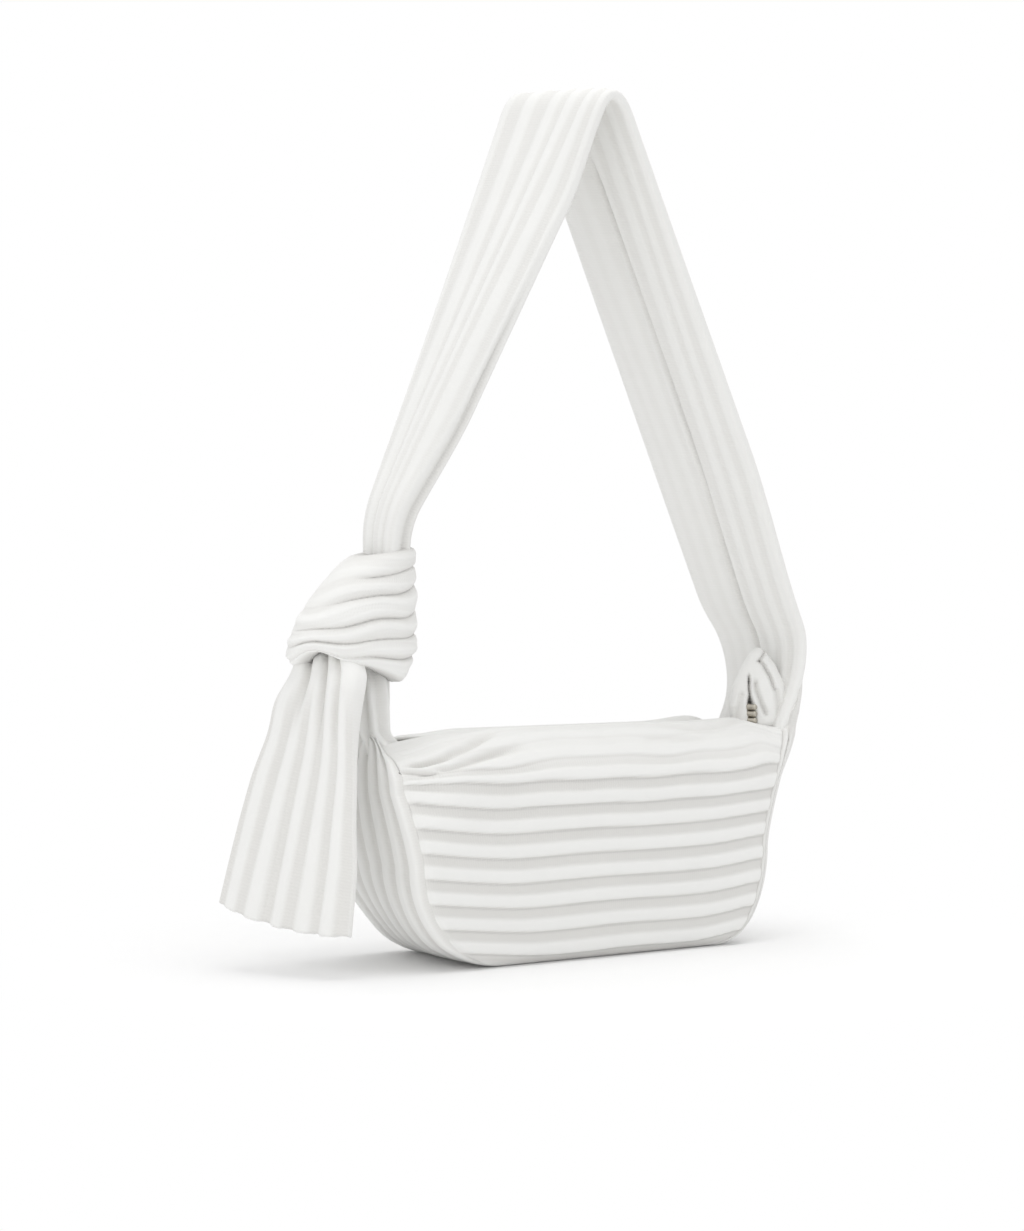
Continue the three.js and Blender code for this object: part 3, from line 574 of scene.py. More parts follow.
def gusset_cloth(rib_height):
    """The band round the ends and the base: its line swept across its depth, with seven ribs along it and
    edges that round down to the seams."""
    line = gusset_line()
    x, half, z = columns_of(line)
    w = np.sin(np.linspace(-1, 1, 100) * QUARTER * EDGE_CROWDING)[None, :]
    w = w / math.sin(QUARTER * EDGE_CROWDING)
    forward = np.interp(z, *TONGUE_FORWARD) * (x > 0)
    base = settle(stack(x, w * (half - 0.8) + forward, z))
    rib = soft_rib((w + 1) * 3.5 + 0.07)
    rounding = 3.0 * round_edge((1 - np.abs(w)) * half / 6)
    on_base = 1 - smooth(base[..., 2], 2, 16)
    left_top = smooth(-x, 90, 120) * smooth(z, 70, 120)
    on_strap = smooth(z, 108, 122) * (x > 0)
    filled = 6 * on_strap * (1 - 0.6 * smooth(z, 130, 140)) * (1 - smooth(z, 146, 157))
    height = rib_height * (0.9 + 0.35 * left_top - 0.4 * on_strap)
    lift = height * (rib - on_base) - rounding * (1 - 0.4 * on_base)
    wall = GUSSET_WALL + rounding * (z < 110) + height * on_base + filled
    # The rib pattern goes to the knit as painted shade, darker in the recesses
    return walled(base, lift, wall, cloth_map(w * half, lengths(line)[:, None]), rib)


def neck_cloth():
    """The left end's gathered neck: rings from a wide skirt, sunk into the bag's top, to a narrow roll in
    the knot, with seven folds round it that twist as they rise."""
    t = np.linspace(0, 1, 60)[:, None]
    a, around = ring_angles(144)
    z = mix(NECK_FOOT, NECK_TOP, t)
    rise = smooth(z, 113, 130)
    middle = mix(-116, NECK_X - 3, smooth(z, 115, 131))
    half_length = mix(*NECK_HALF_LENGTH, rise**0.6)
    half_depth = mix(*NECK_HALF_DEPTH, rise**0.7)
    folds = np.cos(7 * a + 5 * t + 0.8 * np.sin(2 * a))
    depth = mix(0.9, 2.1, smooth(z, 119, 130)) * mix(1, 0.6, smooth(z, 145, 165))
    swell = 1 + depth * folds / mix(18, 9, rise)
    rings = stack(middle + half_length * swell * np.cos(a), half_depth * swell * np.sin(a), z)
    # Painted shade: darker in the folds' valleys, and in the hollow under the knot on the tail's side
    hollow_shade = smooth(z, 148, 166) * smooth(np.cos(a - 2.9), -0.6, 0.4)
    return Skin().tube(rings, cloth_map(around * 13, z), 0.65 + 0.35 * folds - 1.5 * hollow_shade)


# The bunch at the mouth's right end: its place, the directions across and out of it, and its rows of
# (height, left, right, fullness)
BUNCH_PLACE = np.array([143.0, -16.0, 0.0])
BUNCH_ACROSS = np.array([0.799, -0.602, 0.0])
BUNCH_OUT = np.array([-0.602, -0.799, 0.0])
BUNCH_ROWS = (
    (112.0, -10.0, -4.5, 8.0),
    (118.0, -12.0, 4.0, 11.0),
    (127.5, -15.0, 14.0, 13.0),
    (137.7, -16.5, 17.5, 13.0),
    (149.7, -14.0, 17.0, 11.0),
    (161.7, -8.5, 11.5, 8.0),
    (169.0, -4.0, 6.0, 5.0),
    (172.0, -0.5, 2.5, 2.0),
)
# How far its low part reaches along X and Y to the back's corner
BUNCH_BACK = (-16.0, 30.0)
# Its creases, as points (distance across, height), with the depth and the half width of each
BUNCH_CREASES = (
    ([(-3.0, 112), (-3.0, 122), (-3.5, 131), (-4.5, 139), (-5.0, 144)], 9.0, 2.0),
    ([(-3.8, 128), (-4.2, 138), (-5.0, 148), (-5.0, 158)], 7.0, 1.0),
    ([(5.5, 131), (2.0, 139), (-1.0, 148), (-1.5, 155)], 3.4, 1.8),
    ([(10.5, 146), (7.5, 155), (3.0, 163), (-1.0, 165)], 3.6, 1.6),
    ([(0.5, 163), (4.0, 168), (5.5, 171)], 3.0, 1.4),
    ([(17.0, 123), (14.0, 130), (12.5, 140), (11.0, 150)], 2.6, 2.6),
    ([(-12.5, 128), (-11.0, 138), (-9.0, 147)], 2.0, 2.2),
)


def bunch_cloth():
    """The bunch of cloth where the mouth's right end meets the strap: ovals one above another, as wide as
    their rows say, flat against the strap and full towards the mouth, with creases pressed into them."""
    z, left, right, full = columns_of(resample(np.array(BUNCH_ROWS), 0.8))
    a, around = ring_angles(160)
    across = mix(left, right, 0.5 + 0.5 * np.cos(a))
    near = np.maximum(np.sin(a), 0)
    far = np.maximum(-np.sin(a), 0)
    pressed = folds_between(BUNCH_CREASES, across, z, fade=0.8)
    behind = 0.7 * folds_between(BUNCH_CREASES, 3 - across, z + 3, fade=0.8)
    front = full * near**0.6 + pressed * smooth(near, 0, 0.5)
    rear = -7 * far**0.7 - behind * smooth(far, 0, 0.5)
    out = np.where(np.sin(a) > 0, front, rear)
    low = (1 - smooth(z, 114, 128)) * smooth(far, 0, 0.8)
    rings = BUNCH_PLACE + across[..., None] * BUNCH_ACROSS + out[..., None] * BUNCH_OUT
    rings = rings + stack(BUNCH_BACK[0] * low * (0.5 - 0.5 * np.cos(a)), BUNCH_BACK[1] * low, z)
    # Painted shade in the creases, on the front and the back
    crease_shade = np.maximum(-pressed, 0) * smooth(near, 0, 0.3) + np.maximum(-behind, 0) * smooth(far, 0, 0.3)
    return Skin().tube(rings, cloth_map(around * 14, z), 0.75 - 0.3 * crease_shade)


# Strap, knot and tail


def strap_line():
    """The strap's middle line in the XZ plane, from in the knot over the crown into the right end, and the
    share of the strap from the knot to its foot for each point."""
    left_foot = KNOT_ENTRY + (0, KNOT_LEAD)
    up, down = unit(STRAP_APEX - left_foot), unit(STRAP_FOOT - STRAP_APEX)
    lead = bezier(KNOT_ENTRY, left_foot, left_foot + KNOT_LEAD * up)
    crown = bezier(STRAP_APEX - CROWN_BLEND * up, STRAP_APEX, STRAP_APEX + CROWN_BLEND * down)
    root = bezier(STRAP_FOOT, STRAP_FOOT + 23 * down, ROOT_START)
    strap = np.concatenate([lead, crown, STRAP_FOOT[None]])
    line = resample(np.concatenate([KNOT_ENTRY[None] - (0, KNOT_BURIED), strap, root[1:], [ROOT_END]]), 3.2)
    return line, (lengths(line) - KNOT_BURIED) / lengths(strap)[-1]


def strap_cloth(rib_height):
    """The shoulder strap and its root: a flat section (1 - w^4)^(1/4) carried along the strap's line, with
    ribs outside, a groove inside, a drooping near edge, and by the knot soft folds and one deep one."""
    line, share = strap_line()
    along, share = lengths(line)[:, None], share[:, None]
    t = np.clip(share, 0, 1)
    tucked = smooth(share, 1.09, 1.17)
    w, side = cloth_ring(SECTION_POINTS)
    shape = flat_section(w)
    widest = mix(STRAP_NARROW, STRAP_WIDE, np.clip(t / WIDENED, 0, 1))
    near_edge = -widest + 7.5 * smooth(t, 0.82, 1) + 1.5 * smooth(share, 1, 1.17) + 6 * tucked
    far_edge = widest - 24 * smooth(share, 0.97, 1.09) - 6 * tucked
    half = (far_edge - near_edge) / 2
    forward = (far_edge + near_edge) / 2
    wall = mix(*STRAP_WALL, smooth(t, 0, WIDENED)) - 1.5 * tucked
    near_knot = 1 - smooth(t, 0.0, 0.3)

    # Ribs, fewer and wider on the left leg, and the groove
    wander = (0.1 * np.sin(4.3 * w + 5 * t) + 0.06 * np.sin(11 * w - 9 * t)) * (1 - smooth(t, 0.8, 0.95))
    fewer = 1 - smooth(t, 0.45, 0.85)
    rib = soft_rib((3.5 - fewer) * w + 0.57 + wander - 0.5 * fewer * w**2)
    ribbed = mix(0.35, 1, smooth(-w, -0.5, 0.2))
    groove = bell((w - 0.04 * np.sin(7 * t)) * half, 0, 1.8) * smooth(t, 0.5, 0.56)
    outside = rib_height * 0.6 * (rib - 0.5) * mix(0.4, 1, smooth(t, 0, 0.4))
    inside = rib_height * 0.4 * (rib - 0.5) * ribbed - 3.0 * groove

    # Folds by the knot, placed by the angle round the strap
    turned = np.arctan2(side * shape * STRAP_WALL[0], w * STRAP_NARROW)
    fold = np.cos(7 * turned + 3 * t + 0.5 * np.sin(2 * turned))
    pinched = math.pi + mix(0.22, 0.0, smooth(t, 0, 0.25))
    pinch = np.exp(70 * (np.cos(turned - pinched) - 1)) * (1 - smooth(t, 0.15, 0.3))
    puff = (0.5 * near_knot + 0.25 * (1 - smooth(t, 0.1, 0.5))) * fold - 2.6 * pinch
    droop = 7 * smooth(-w, 0.3, 1) ** 2 * smooth(t, 0.0, 0.14) * (1 - smooth(t, 0.34, 0.45))
    height = side * shape * (wall + np.where(side > 0, outside, inside)) + puff * np.sin(turned) - droop

    tangent_x, tangent_z = columns_of(unit(np.gradient(line, axis=0)))
    middle_x, middle_z = columns_of(line)
    tilt = CROWN_TILT * np.sin(math.pi * t) ** 2
    x = middle_x - tangent_z * height
    y = w * half + forward + puff * np.cos(turned)
    z = middle_z + tangent_x * height + tilt * w * half
    loop = np.concatenate([stack(w * half, side * shape * wall, 0)] * 2, axis=1)[:, : w.size + 1]
    around = np.cumsum(np.linalg.norm(np.diff(loop, axis=1, prepend=loop[:, :1]), axis=2), axis=1)
    # Painted shade: in the folds' valleys and the deep pinch by the knot, in the groove and the rib
    # recesses inside, and in the rib recesses outside; the edges are kept even
    valley_shade = 0.2 * near_knot * np.maximum(-fold, 0) + 1.3 * pinch
    inside_shade = mix(0.65, 0.5 * rib + 0.3, ribbed) - 1.2 * groove
    shade = np.where(side > 0, mix(0.7 * rib + 0.28, 0.75, 0.5 * near_knot), inside_shade)
    shade = mix(shade, 0.85, smooth(np.abs(w), 0.9, 0.99)) - valley_shade
    return Skin().tube(stack(x, y, z), cloth_map(around - around[:, -1:] / 4, along), shade)


# The knot's creases, as the height of each on the right, where the bands run together, and the angle round
# the knot at which it fades out on its left
KNOT_CREASES = np.array([(0.21, 4.3), (0.385, 3.0), (0.55, 3.0), (0.73, 3.6), (0.865, 3.9)])


def knot_cloth():
    """The wrap of the knot: ovals that grow down to the left, banded by creases that run together on the
    right and spread on the left, where a band's height t is its height on the right to the power 1 + aside.
    Fine ribs run along the bands."""
    t = np.linspace(0, 1, 150)[:, None]
    a, around = ring_angles(180)
    aside = (1 - np.cos(a)) / 2
    spread = 1 - t**1.9
    half_length = (KNOT_RIGHT - mix(*KNOT_LEFT, spread)) / 2
    half_depth = mix(*KNOT_HALF_DEPTH, spread)
    lip = 8 * round_edge(t / 0.16) * smooth(aside, 0.1, 0.5)
    corner = 9 * (1 - smooth(t, 0, 0.25)) * (1 - smooth(aside, 0, 0.35))
    bottom = mix(*KNOT_FOOT, smooth(aside, 0.1, 0.6))
    over_tail = 8 * bell(a, 3.65, 0.5)
    z = mix(bottom, KNOT_ENTRY[1] - 5 * aside, t) + over_tail * (1 - t) ** 4

    across = t ** (1 / (1 + aside)) + 0.012 * np.sin(3 * a + 8 * t) * t * (1 - t) * 4
    heights, ends = KNOT_CREASES.T
    seen = (smooth(a - end, -0.3, 0.7) + 0.8 * (1 - smooth(a, 2.2, 2.7)) for end in ends)
    faint = sum((1 - s) * bell(across, h, 0.045) for h, s in zip(heights, seen))
    bands = mix(pillows(across, np.concatenate([[0], heights, [1]])), 0.8, np.clip(faint, 0, 0.9))
    rib = soft_rib(9.5 * across + 0.25 * np.sin(2 * a + 4 * t))
    lift = 3.2 * bands + 0.35 * rib - 1.5
    wall = 6 + 5.5 * smooth(t, 0.85, 1)
    outer, inner = (
        stack(
            KNOT_RIGHT - half_length + (half_length - lip + grown) * np.cos(a) - corner,
            (half_depth - 0.5 * lip + grown) * np.sin(a),
            z,
        )
        for grown in (lift, -wall)
    )
    # Painted shade: each band darker towards its creases, and the fine ribs' recesses darker
    shade = 1.7 * bands + 0.3 * rib - 0.95
    return Skin().shell(outer, inner, cloth_map(t * 75, around * 30), shade, wrap=True)


def tail_frame():
    """The tail's directions: across its width, down its length and out of its face."""
    flat = np.array([math.cos(TAIL_TURN), -math.sin(TAIL_TURN), 0])
    out = np.array([-math.sin(TAIL_TURN), -math.cos(TAIL_TURN), 0])
    down = np.array([0, 0, -1.0])
    width = flat * math.cos(TAIL_TILT) + down * math.sin(TAIL_TILT)
    length = down * math.cos(TAIL_TILT) - flat * math.sin(TAIL_TILT) + out * TAIL_LEAN
    return width, length, unit(np.cross(length, width))


# The tail's open hem: how far down and how wide its rows are, turned over its edge and up inside
HEM_DOWN = (1.004, 0.995, 0.95, 0.9)
HEM_INSET = (0.93, 0.82, 0.8, 0.8)


def tail_cloth(rib_height):
    """The knot's free end: a flat section (1 - w^4)^(1/4) that widens down from the knot, with ribs along
    it, three folds that fade below the knot, and an open hem turned up inside."""
    w, side = cloth_ring(SECTION_POINTS)
    shape = flat_section(w)
    down = np.concatenate([np.linspace(-0.2, 0, 16), np.linspace(0, 1, 90)[1:], HEM_DOWN])[:, None]
    inset = np.concatenate([np.ones(len(down) - len(HEM_INSET)), HEM_INSET])[:, None]
    t = np.clip(down, 0, 1)
    in_knot = mix(9, TAIL_NARROW, smooth(down, -0.2, 0.0))
    below = mix(TAIL_NARROW, TAIL_WIDE, 0.72 * t + 0.28 * smooth(t, 0, 0.5))
    half = np.where(down < 0, in_knot, below) * mix(0.96, 1, inset)
    wall = mix(*TAIL_WALL, smooth(t, 0, 0.4))

    rib = soft_rib(2.65 * w + 0.52)
    folds = bell(w, -0.45, 0.1) + 0.9 * bell(w, 0.08, 0.08) + 0.6 * bell(w, 0.5, 0.08)
    folds = folds * (1 - smooth(t, 0.02, 0.34)) * (side > 0)
    lift = rib_height * 0.8 * (rib - 0.45) * smooth(t, 0, 0.2) - 5.2 * folds
    height = side * shape * np.maximum((wall + lift) * np.where(inset < 1, (inset - 0.75) * 4, 1), 0.35)
    ripple = 1.6 * np.sin(3.1 * math.pi * w + 0.6) * smooth(t, 0.35, 1)
    left_bow = 3.0 * np.sin(math.pi * t) + 4.5 * bell(t, 0.15, 0.1)
    bow = -np.where(w < 0, left_bow, 4.5 * np.sin(math.pi * np.clip(t / 0.75, 0, 1))) * w**2
    scallop = (0.9 * rib + 4 * (1 - w**2)) * smooth(t, 0.8, 1)
    into_knot = smooth(0.06 - down, 0, 0.26)[..., None] * np.array([7.0, 15.0, 0.0])

    width, length, out = tail_frame()
    rings = TAIL_HINGE + (w * half + bow)[..., None] * width + into_knot
    rings = rings + (down * TAIL_LENGTH + scallop)[..., None] * length + (height + ripple)[..., None] * out
    around = np.append(w, w[:, :1], axis=1)
    # Painted light and shade: paler just below the knot, then darker rib recesses, and dark fold valleys
    shade = mix(0.9, rib, smooth(t, 0.0, 0.25)) - 1.3 * folds
    return Skin().tube(rings, cloth_map(around * half, down * TAIL_LENGTH), shade)


# Zip, lining and pocket


def lining_panel(side):
    """The lining of the front (side -1) or the back (side 1): the body surface, inside the wadding."""
    k = np.linspace(0.08, 2.92, 90)[None, :]
    v = np.linspace(0.05, 1.0, 40)[:, None]
    base = body_points(side, k, v, tuck=4)
    depth = LINING_DEPTH + 0.4 * np.sin(k * 17 + v * 3) * np.sin(v * 9)
    return walled(base, -depth, depth + LINING_WALL, cloth_map(base[..., 0], base[..., 2]))


def facing(side):
    """The facing inside the mouth: the top of the body surface, below its knit and its gathered folds."""
    k = np.linspace(1.0, 2.0, 90)[None, :]
    v = np.linspace(1.01, 1.6, 24)[:, None]
    base = body_points(side, k, v)
    rows, ups = front_rows()
    along = mix(-MOUTH_LEFT, MOUTH_RIGHT, k - 1)
    pleat = folds_between(GATHER_FOLDS, along, np.interp(v, rows, ups), GATHER_FADE)
    depth = FACING_DEPTH - pleat
    skin = walled(base, -depth, depth + LINING_WALL, cloth_map(base[..., 0], v * 60))
    return skin, mouth_weights(base[..., 0], v)


def gusset_lining():
    """The lining of the ends and the base: the gusset's line, swept across the inside of the bag."""
    line = gusset_line()
    line = line[line[:, 2] < GUSSET_LINING_TOP]
    x, half, z = columns_of(line)
    w = np.linspace(-1, 1, 40)[None, :]
    base = settle(stack(x, w * (half - GUSSET_LINING_INSET), z))
    uv = cloth_map(w * half, lengths(line)[:, None])
    return walled(base, -GUSSET_LINING_DEPTH, GUSSET_LINING_DEPTH + GUSSET_LINING_WALL, uv)


def slip_pocket():
    """A flat pocket on the back lining: a sheet that sags along its upper edge, with a thicker hem."""
    x = np.linspace(*POCKET_X, 70)[None, :]
    t = np.linspace(0, 1, 40)[:, None]
    bulge = np.sin(math.pi * (x - POCKET_X[0]) / np.ptp(POCKET_X))
    face, back = POCKET_Y
    y = face - 0.6 * bulge * t - 0.35 * smooth(t, 0.86, 0.88)
    z = mix(*POCKET_Z, t) - 2.0 * bulge * t**6
    return Skin().shell(stack(x, y, z), stack(x, back, z), cloth_map(x, t * np.ptp(POCKET_Z)))


def zip_tape(side):
    """A zip tape: from under the mouth's edge down to the teeth, with a cord along its inner edge."""
    arc = front_points(1.5, np.linspace(1.55, 1.985, 16))[:, 1:]
    tangent = unit(np.gradient(arc, axis=0))
    under = arc - TAPE_UNDER * np.stack([-tangent[:, 1], tangent[:, 0]], 1)
    section = resample(np.concatenate([under, [TAPE_BEND, (-TAPE_EDGE, ZIP_HEIGHT)]]), 0.8)
    x = np.linspace(*TAPE_SPAN, 120)[None, :]
    y, z = columns_of(section)
    base = settle(stack(x, -side * y, z))
    across = lengths(section)[:, None]
    cord = 0.5 * bell(across - across.max(), -1.2, 0.7)
    skin = walled(base, TAPE_HALF_WALL + cord, TAPE_HALF_WALL, cloth_map(across, x))
    return skin, mouth_weights(base[..., 0])


def zip_teeth(side):
    """A row of teeth with its stop at the right end: one tooth, an eight-sided bar across the tape with a
    rounded head, repeated a pitch apart. The front's row ends turned up in the bunch."""
    station = np.array([-3.0, -2.6, -0.9, -0.3, 0.3, TOOTH_REACH])[:, None]
    breadth = np.array([0.6, 0.85, 0.75, 0.9, 1.0, 0.6])[:, None]
    a, around = ring_angles(8)
    a = a + math.pi / 8
    tooth = stack(0.95 * breadth * np.cos(a), side * -station, 1.15 * breadth * np.sin(a))
    uv = cloth_map(around, station)
    skin = Skin()
    first, last = TEETH_SPAN
    for x in np.arange(first + (side + 1) / 2 * TOOTH_PITCH / 2, last, TOOTH_PITCH):
        skin.tube(tooth + np.array([x, 0, ZIP_HEIGHT]), uv)
    skin.tube(tooth * np.array([1.1, 0.6, 1.05]) + np.array([STOP_X, side * 0.9, ZIP_HEIGHT]), uv)
    for n in range(4 if side < 0 else 0):
        skin.tube(tooth * 2.0 + np.array(ZIP_END) + np.array([0, 0, n * TOOTH_PITCH]), uv)
    return skin, mouth_weights(np.concatenate(skin.points)[:, 0])


def zip_tab(start, stop):
    """A cloth tab over a zip's end: a folded strip with a section sqrt(1 - w^6), rounded over its ends."""
    w, side = cloth_ring(24)
    x = np.linspace(start, stop, 16)[:, None]
    t = (x - start) / (stop - start)
    round_end = np.sqrt(np.sqrt(np.maximum(1 - (2 * t - 1) ** 8, 0.004)))
    shape = np.sqrt(np.maximum(1 - w**6, 0))
    rings = stack(x, TAB_HALF_WIDTH * w, TAB_HEIGHT + 1.1 * side * shape * round_end)
    return Skin().tube(rings, cloth_map(np.append(w, w[:, :1], axis=1) * TAB_HALF_WIDTH, x))


# Materials


def paint(red, green, blue):
    """A colour as Blender keeps it, from its screen values of 0 to 255."""
    screen = np.array([red, green, blue]) / 255
    linear = np.where(screen <= 0.04045, screen / 12.92, ((screen + 0.055) / 1.055) ** 2.4)
    return tuple(float(c) for c in linear) + (1.0,)


def darker(colour, share):
    """The same colour at a share of its light."""
    return tuple(c * share for c in colour[:3]) + (1.0,)


class Wire:
    """A shader socket that takes part in sums: each operator adds one Math node."""

    def __init__(self, tree, socket=None):
        self.tree = tree
        self.socket = socket

    def node(self, kind, values=None, output=0, **settings):
        """Adds a node with its settings and the values or links of its sockets, and returns the wire from
        one of its outputs."""
        made = self.tree.nodes.new(kind)
        for name, value in settings.items():
            setattr(made, name, value)
        for name, value in (values or {}).items():
            if isinstance(value, Wire):
                self.tree.links.new(value.socket, made.inputs[name])
            else:
                made.inputs[name].default_value = value
        return Wire(self.tree, made.outputs[output]) if made.outputs else None

    def math(self, operation, *values):
        """The result of a Math node."""
        return self.node("ShaderNodeMath", dict(enumerate(values)), operation=operation)

    def blend(self, first, second):
        """A colour this share of the way from the first to the second."""
        return self.node("ShaderNodeMix", {0: self, 6: first, 7: second}, 2, data_type="RGBA")

    def dim(self, colour, share):
        """A colour this share of the way to the same colour at a share of its light."""
        return self.blend(colour, darker(colour, share))

    def wave(self, per_unit):
        """A sine wave from 0 to 1, so many times in a unit."""
        return 0.5 + 0.5 * self.math("SINE", self * (TURN * per_unit))

    def bump(self, strength, distance):
        """A normal turned by this height."""
        return self.node("ShaderNodeBump", {"Strength": strength, "Distance": distance, "Height": self})

    def __add__(self, other):
        return self.math("ADD", self, other)

    def __sub__(self, other):
        return self.math("SUBTRACT", self, other)

    def __rsub__(self, other):
        return self.math("SUBTRACT", other, self)

    def __mul__(self, other):
        return self.math("MULTIPLY", self, other)

    __radd__ = __add__
    __rmul__ = __mul__


def new_tree(owner):
    """A wire to start from, in the emptied node tree of a material or world."""
    owner.use_nodes = True
    owner.node_tree.nodes.clear()
    return Wire(owner.node_tree)


def cloth_axes(start):
    """The piece's own UV map in centimetres: across its ribs, and along them."""
    uv = start.node("ShaderNodeUVMap", uv_map="knit")
    return (start.node("ShaderNodeSeparateXYZ", {0: uv}, axis) for axis in "XY")


def object_place(start):
    """The object's own coordinates."""
    return start.node("ShaderNodeTexCoord", output="Object")


def noise(start, scale, detail=2.0):
    """Soft noise from 0 to 1 on the object's own coordinates."""
    values = {"Vector": object_place(start), "Scale": scale, "Detail": detail, "Roughness": 0.55}
    return start.node("ShaderNodeTexNoise", values)


def knit_sockets(start, bag):
    """Ribbed knit: courses 1.7 mm apart across the ribs and the stitches' slanted legs along them, clearest
    in the recesses, on a colour that varies a little over the cloth, with painted shade in the recesses, on
    their course lines and in the creases."""
    across, along = cloth_axes(start)
    rib = start.node("ShaderNodeAttribute", output="Fac", attribute_name="rib")
    slub = noise(start, 55.0)
    fuzz = noise(start, 900.0, 3.0)
    leg = across.wave(STITCH_LEGS)
    course = (along + 0.03 * leg + 0.02 * slub).wave(COURSES)
    shown = start.math("MAXIMUM", 1 - 0.95 * rib, 0.0)
    # Painted shade in creases, where the rib attribute falls below 0
    painted_crease_shade = start.math("MAXIMUM", 0 - rib, 0.0)
    # Painted shade between the ribs: the recess colour where the rib attribute is low
    body = rib.blend(bag.recess_shade_colour, bag.knit_colour)
    # Random tone over the cloth, plus painted shade on the course lines in the recesses and in the creases
    tone_and_painted_shade = 0.08 * slub + 0.08 * shown * (1 - course) + 0.58 * painted_crease_shade
    height = 0.48 * shown * course + 0.1 * course + 0.12 * leg + 0.06 * fuzz
    return {
        "Base Color": tone_and_painted_shade.blend(body, darker(bag.recess_shade_colour, 0.72)),
        "Roughness": 0.82 + 0.12 * fuzz,
        "Normal": height.bump(0.22, bag.stitch_relief),
        "Sheen Weight": 0.25,
        "Sheen Roughness": 0.45,
        "Specular IOR Level": 0.25,
    }


def lining_sockets(start, bag):
    """Plain-woven lining: two crossed waves half a millimetre apart, with a faint sheen."""
    across, along = cloth_axes(start)
    warp, weft = across.wave(WEAVE), along.wave(WEAVE)
    weave = warp * (1 - weft) + weft * (1 - warp)
    mottled = 0.35 * weave + 0.25 * noise(start, 30.0)
    return {
        "Base Color": mottled.dim(bag.lining_colour, 0.75),
        "Roughness": 0.55 + 0.2 * weave,
        "Normal": weave.bump(0.3, 0.0002),
        "Sheen Weight": 0.15,
    }


def tape_sockets(start, bag):
    """Zip tape: a herringbone of slanted ribs that turn back every 2 mm."""
    across, along = cloth_axes(start)
    twill = (along + start.math("PINGPONG", across, 0.2)).wave(TWILL)
    return {
        "Base Color": (0.5 * twill).dim(bag.tape_colour, 0.7),
        "Roughness": 0.75 + 0.15 * twill,
        "Normal": twill.bump(0.4, 0.0002),
    }


def metal_sockets(start, bag):
    """Brushed zip metal: fine scratches along the zip and a duller, rougher patina in patches."""
    stretch = {"Vector": object_place(start), "Scale": (150.0, 2500.0, 2500.0)}
    stretched = start.node("ShaderNodeMapping", stretch)
    scratch = start.node("ShaderNodeTexNoise", {"Vector": stretched, "Scale": 1.0, "Detail": 2.0})
    patina = noise(start, 220.0)
    return {
        "Base Color": (0.5 * patina).dim(bag.metal_colour, 0.45),
        "Metallic": 1.0,
        "Roughness": 0.22 + 0.16 * scratch + 0.1 * patina,
        "Normal": scratch.bump(0.12, 0.0001),
    }


def board_sockets(start, bag):
    """Grey bag board: pressed fibre with darker flecks."""
    fibre = noise(start, 400.0, 4.0)
    patch = noise(start, 40.0)
    return {
        "Base Color": (0.5 * fibre + 0.3 * patch).dim(bag.board_colour, 0.6),
        "Roughness": 0.8 + 0.15 * fibre,
        "Normal": fibre.bump(0.3, 0.0003),
    }


FINISHES = {
    "knit": ("ribbed knit", knit_sockets),
    "lining": ("woven lining", lining_sockets),
    "tape": ("zip tape", tape_sockets),
    "zip_metal": ("zip metal", metal_sockets),
    "board": ("base board", board_sockets),
}


def finish_of(slot):
    """The material of one of the record's slots, a Principled shader, made once and kept."""
    name, sockets = FINISHES[slot]
    material = bpy.data.materials.get(name)
    if material is None:
        material = bpy.data.materials.new(name)
        start = new_tree(material)
        shader = start.node("ShaderNodeBsdfPrincipled", sockets(start, bpy.context.scene.knit_bag))
        start.node("ShaderNodeOutputMaterial", {"Surface": shader})
    return material


# Studio


def shown_rays(start):
    """1 for the rays that show a background: straight to the camera, or by way of gloss or glass."""
    path = [start.node("ShaderNodeLightPath", output=f"Is {kind} Ray") for kind in SHOWN_RAYS]
    return start.math("MINIMUM", path[0] + path[1] + path[2], 1.0)


def floor_material(colour):
    """Pale floor: lit as it is near the bag, where it keeps the shadow, and plain white further off for the
    rays that show it, so that no horizon shows."""
    material = bpy.data.materials.new("studio floor")
    start = new_tree(material)
    far = start.node("ShaderNodeVectorMath", {0: object_place(start)}, "Value", operation="LENGTH")
    span = dict(enumerate((far, *FLOOR_FADE)))
    away = start.node("ShaderNodeMapRange", span, interpolation_type="SMOOTHSTEP")
    grain = noise(start, 60.0)
    values = {"Base Color": (0.05 * grain).blend(colour, paint(205, 205, 205)), "Roughness": 0.9}
    lit = start.node("ShaderNodeBsdfPrincipled", values)
    white = start.node("ShaderNodeEmission", {"Strength": 1.0})
    mixed = start.node("ShaderNodeMixShader", {0: away * shown_rays(start), 1: lit, 2: white})
    start.node("ShaderNodeOutputMaterial", {"Surface": mixed})
    return material


def studio_world(ambient):
    """White where a ray shows the background, and an even dimmer light on everything else."""
    world = bpy.data.worlds.new("studio")
    start = new_tree(world)
    light, white = (
        start.node("ShaderNodeBackground", {"Color": (1, 1, 1, 1), "Strength": strength})
        for strength in (ambient, 1.0)
    )
    mixed = start.node("ShaderNodeMixShader", {0: shown_rays(start), 1: light, 2: white})
    start.node("ShaderNodeOutputWorld", {"Surface": mixed})
    bpy.context.scene.world = world


def aim(name, data, place, target):
    """Adds a lamp or camera at a place, turned to a target, both in metres."""
    thing = bpy.data.objects.new(name, data)
    thing.location = place
    thing.rotation_euler = (Vector(target) - Vector(place)).to_track_quat("-Z", "Y").to_euler()
    bpy.context.scene.collection.objects.link(thing)
    return thing


# Settings, operators and panel


def colour_setting(name, description, *screen):
    """A colour property, its default given by screen values of 0 to 255."""
    return bpy.props.FloatVectorProperty(
        name=name, description=description, subtype="COLOR", size=4, min=0, max=1, default=paint(*screen)
    )


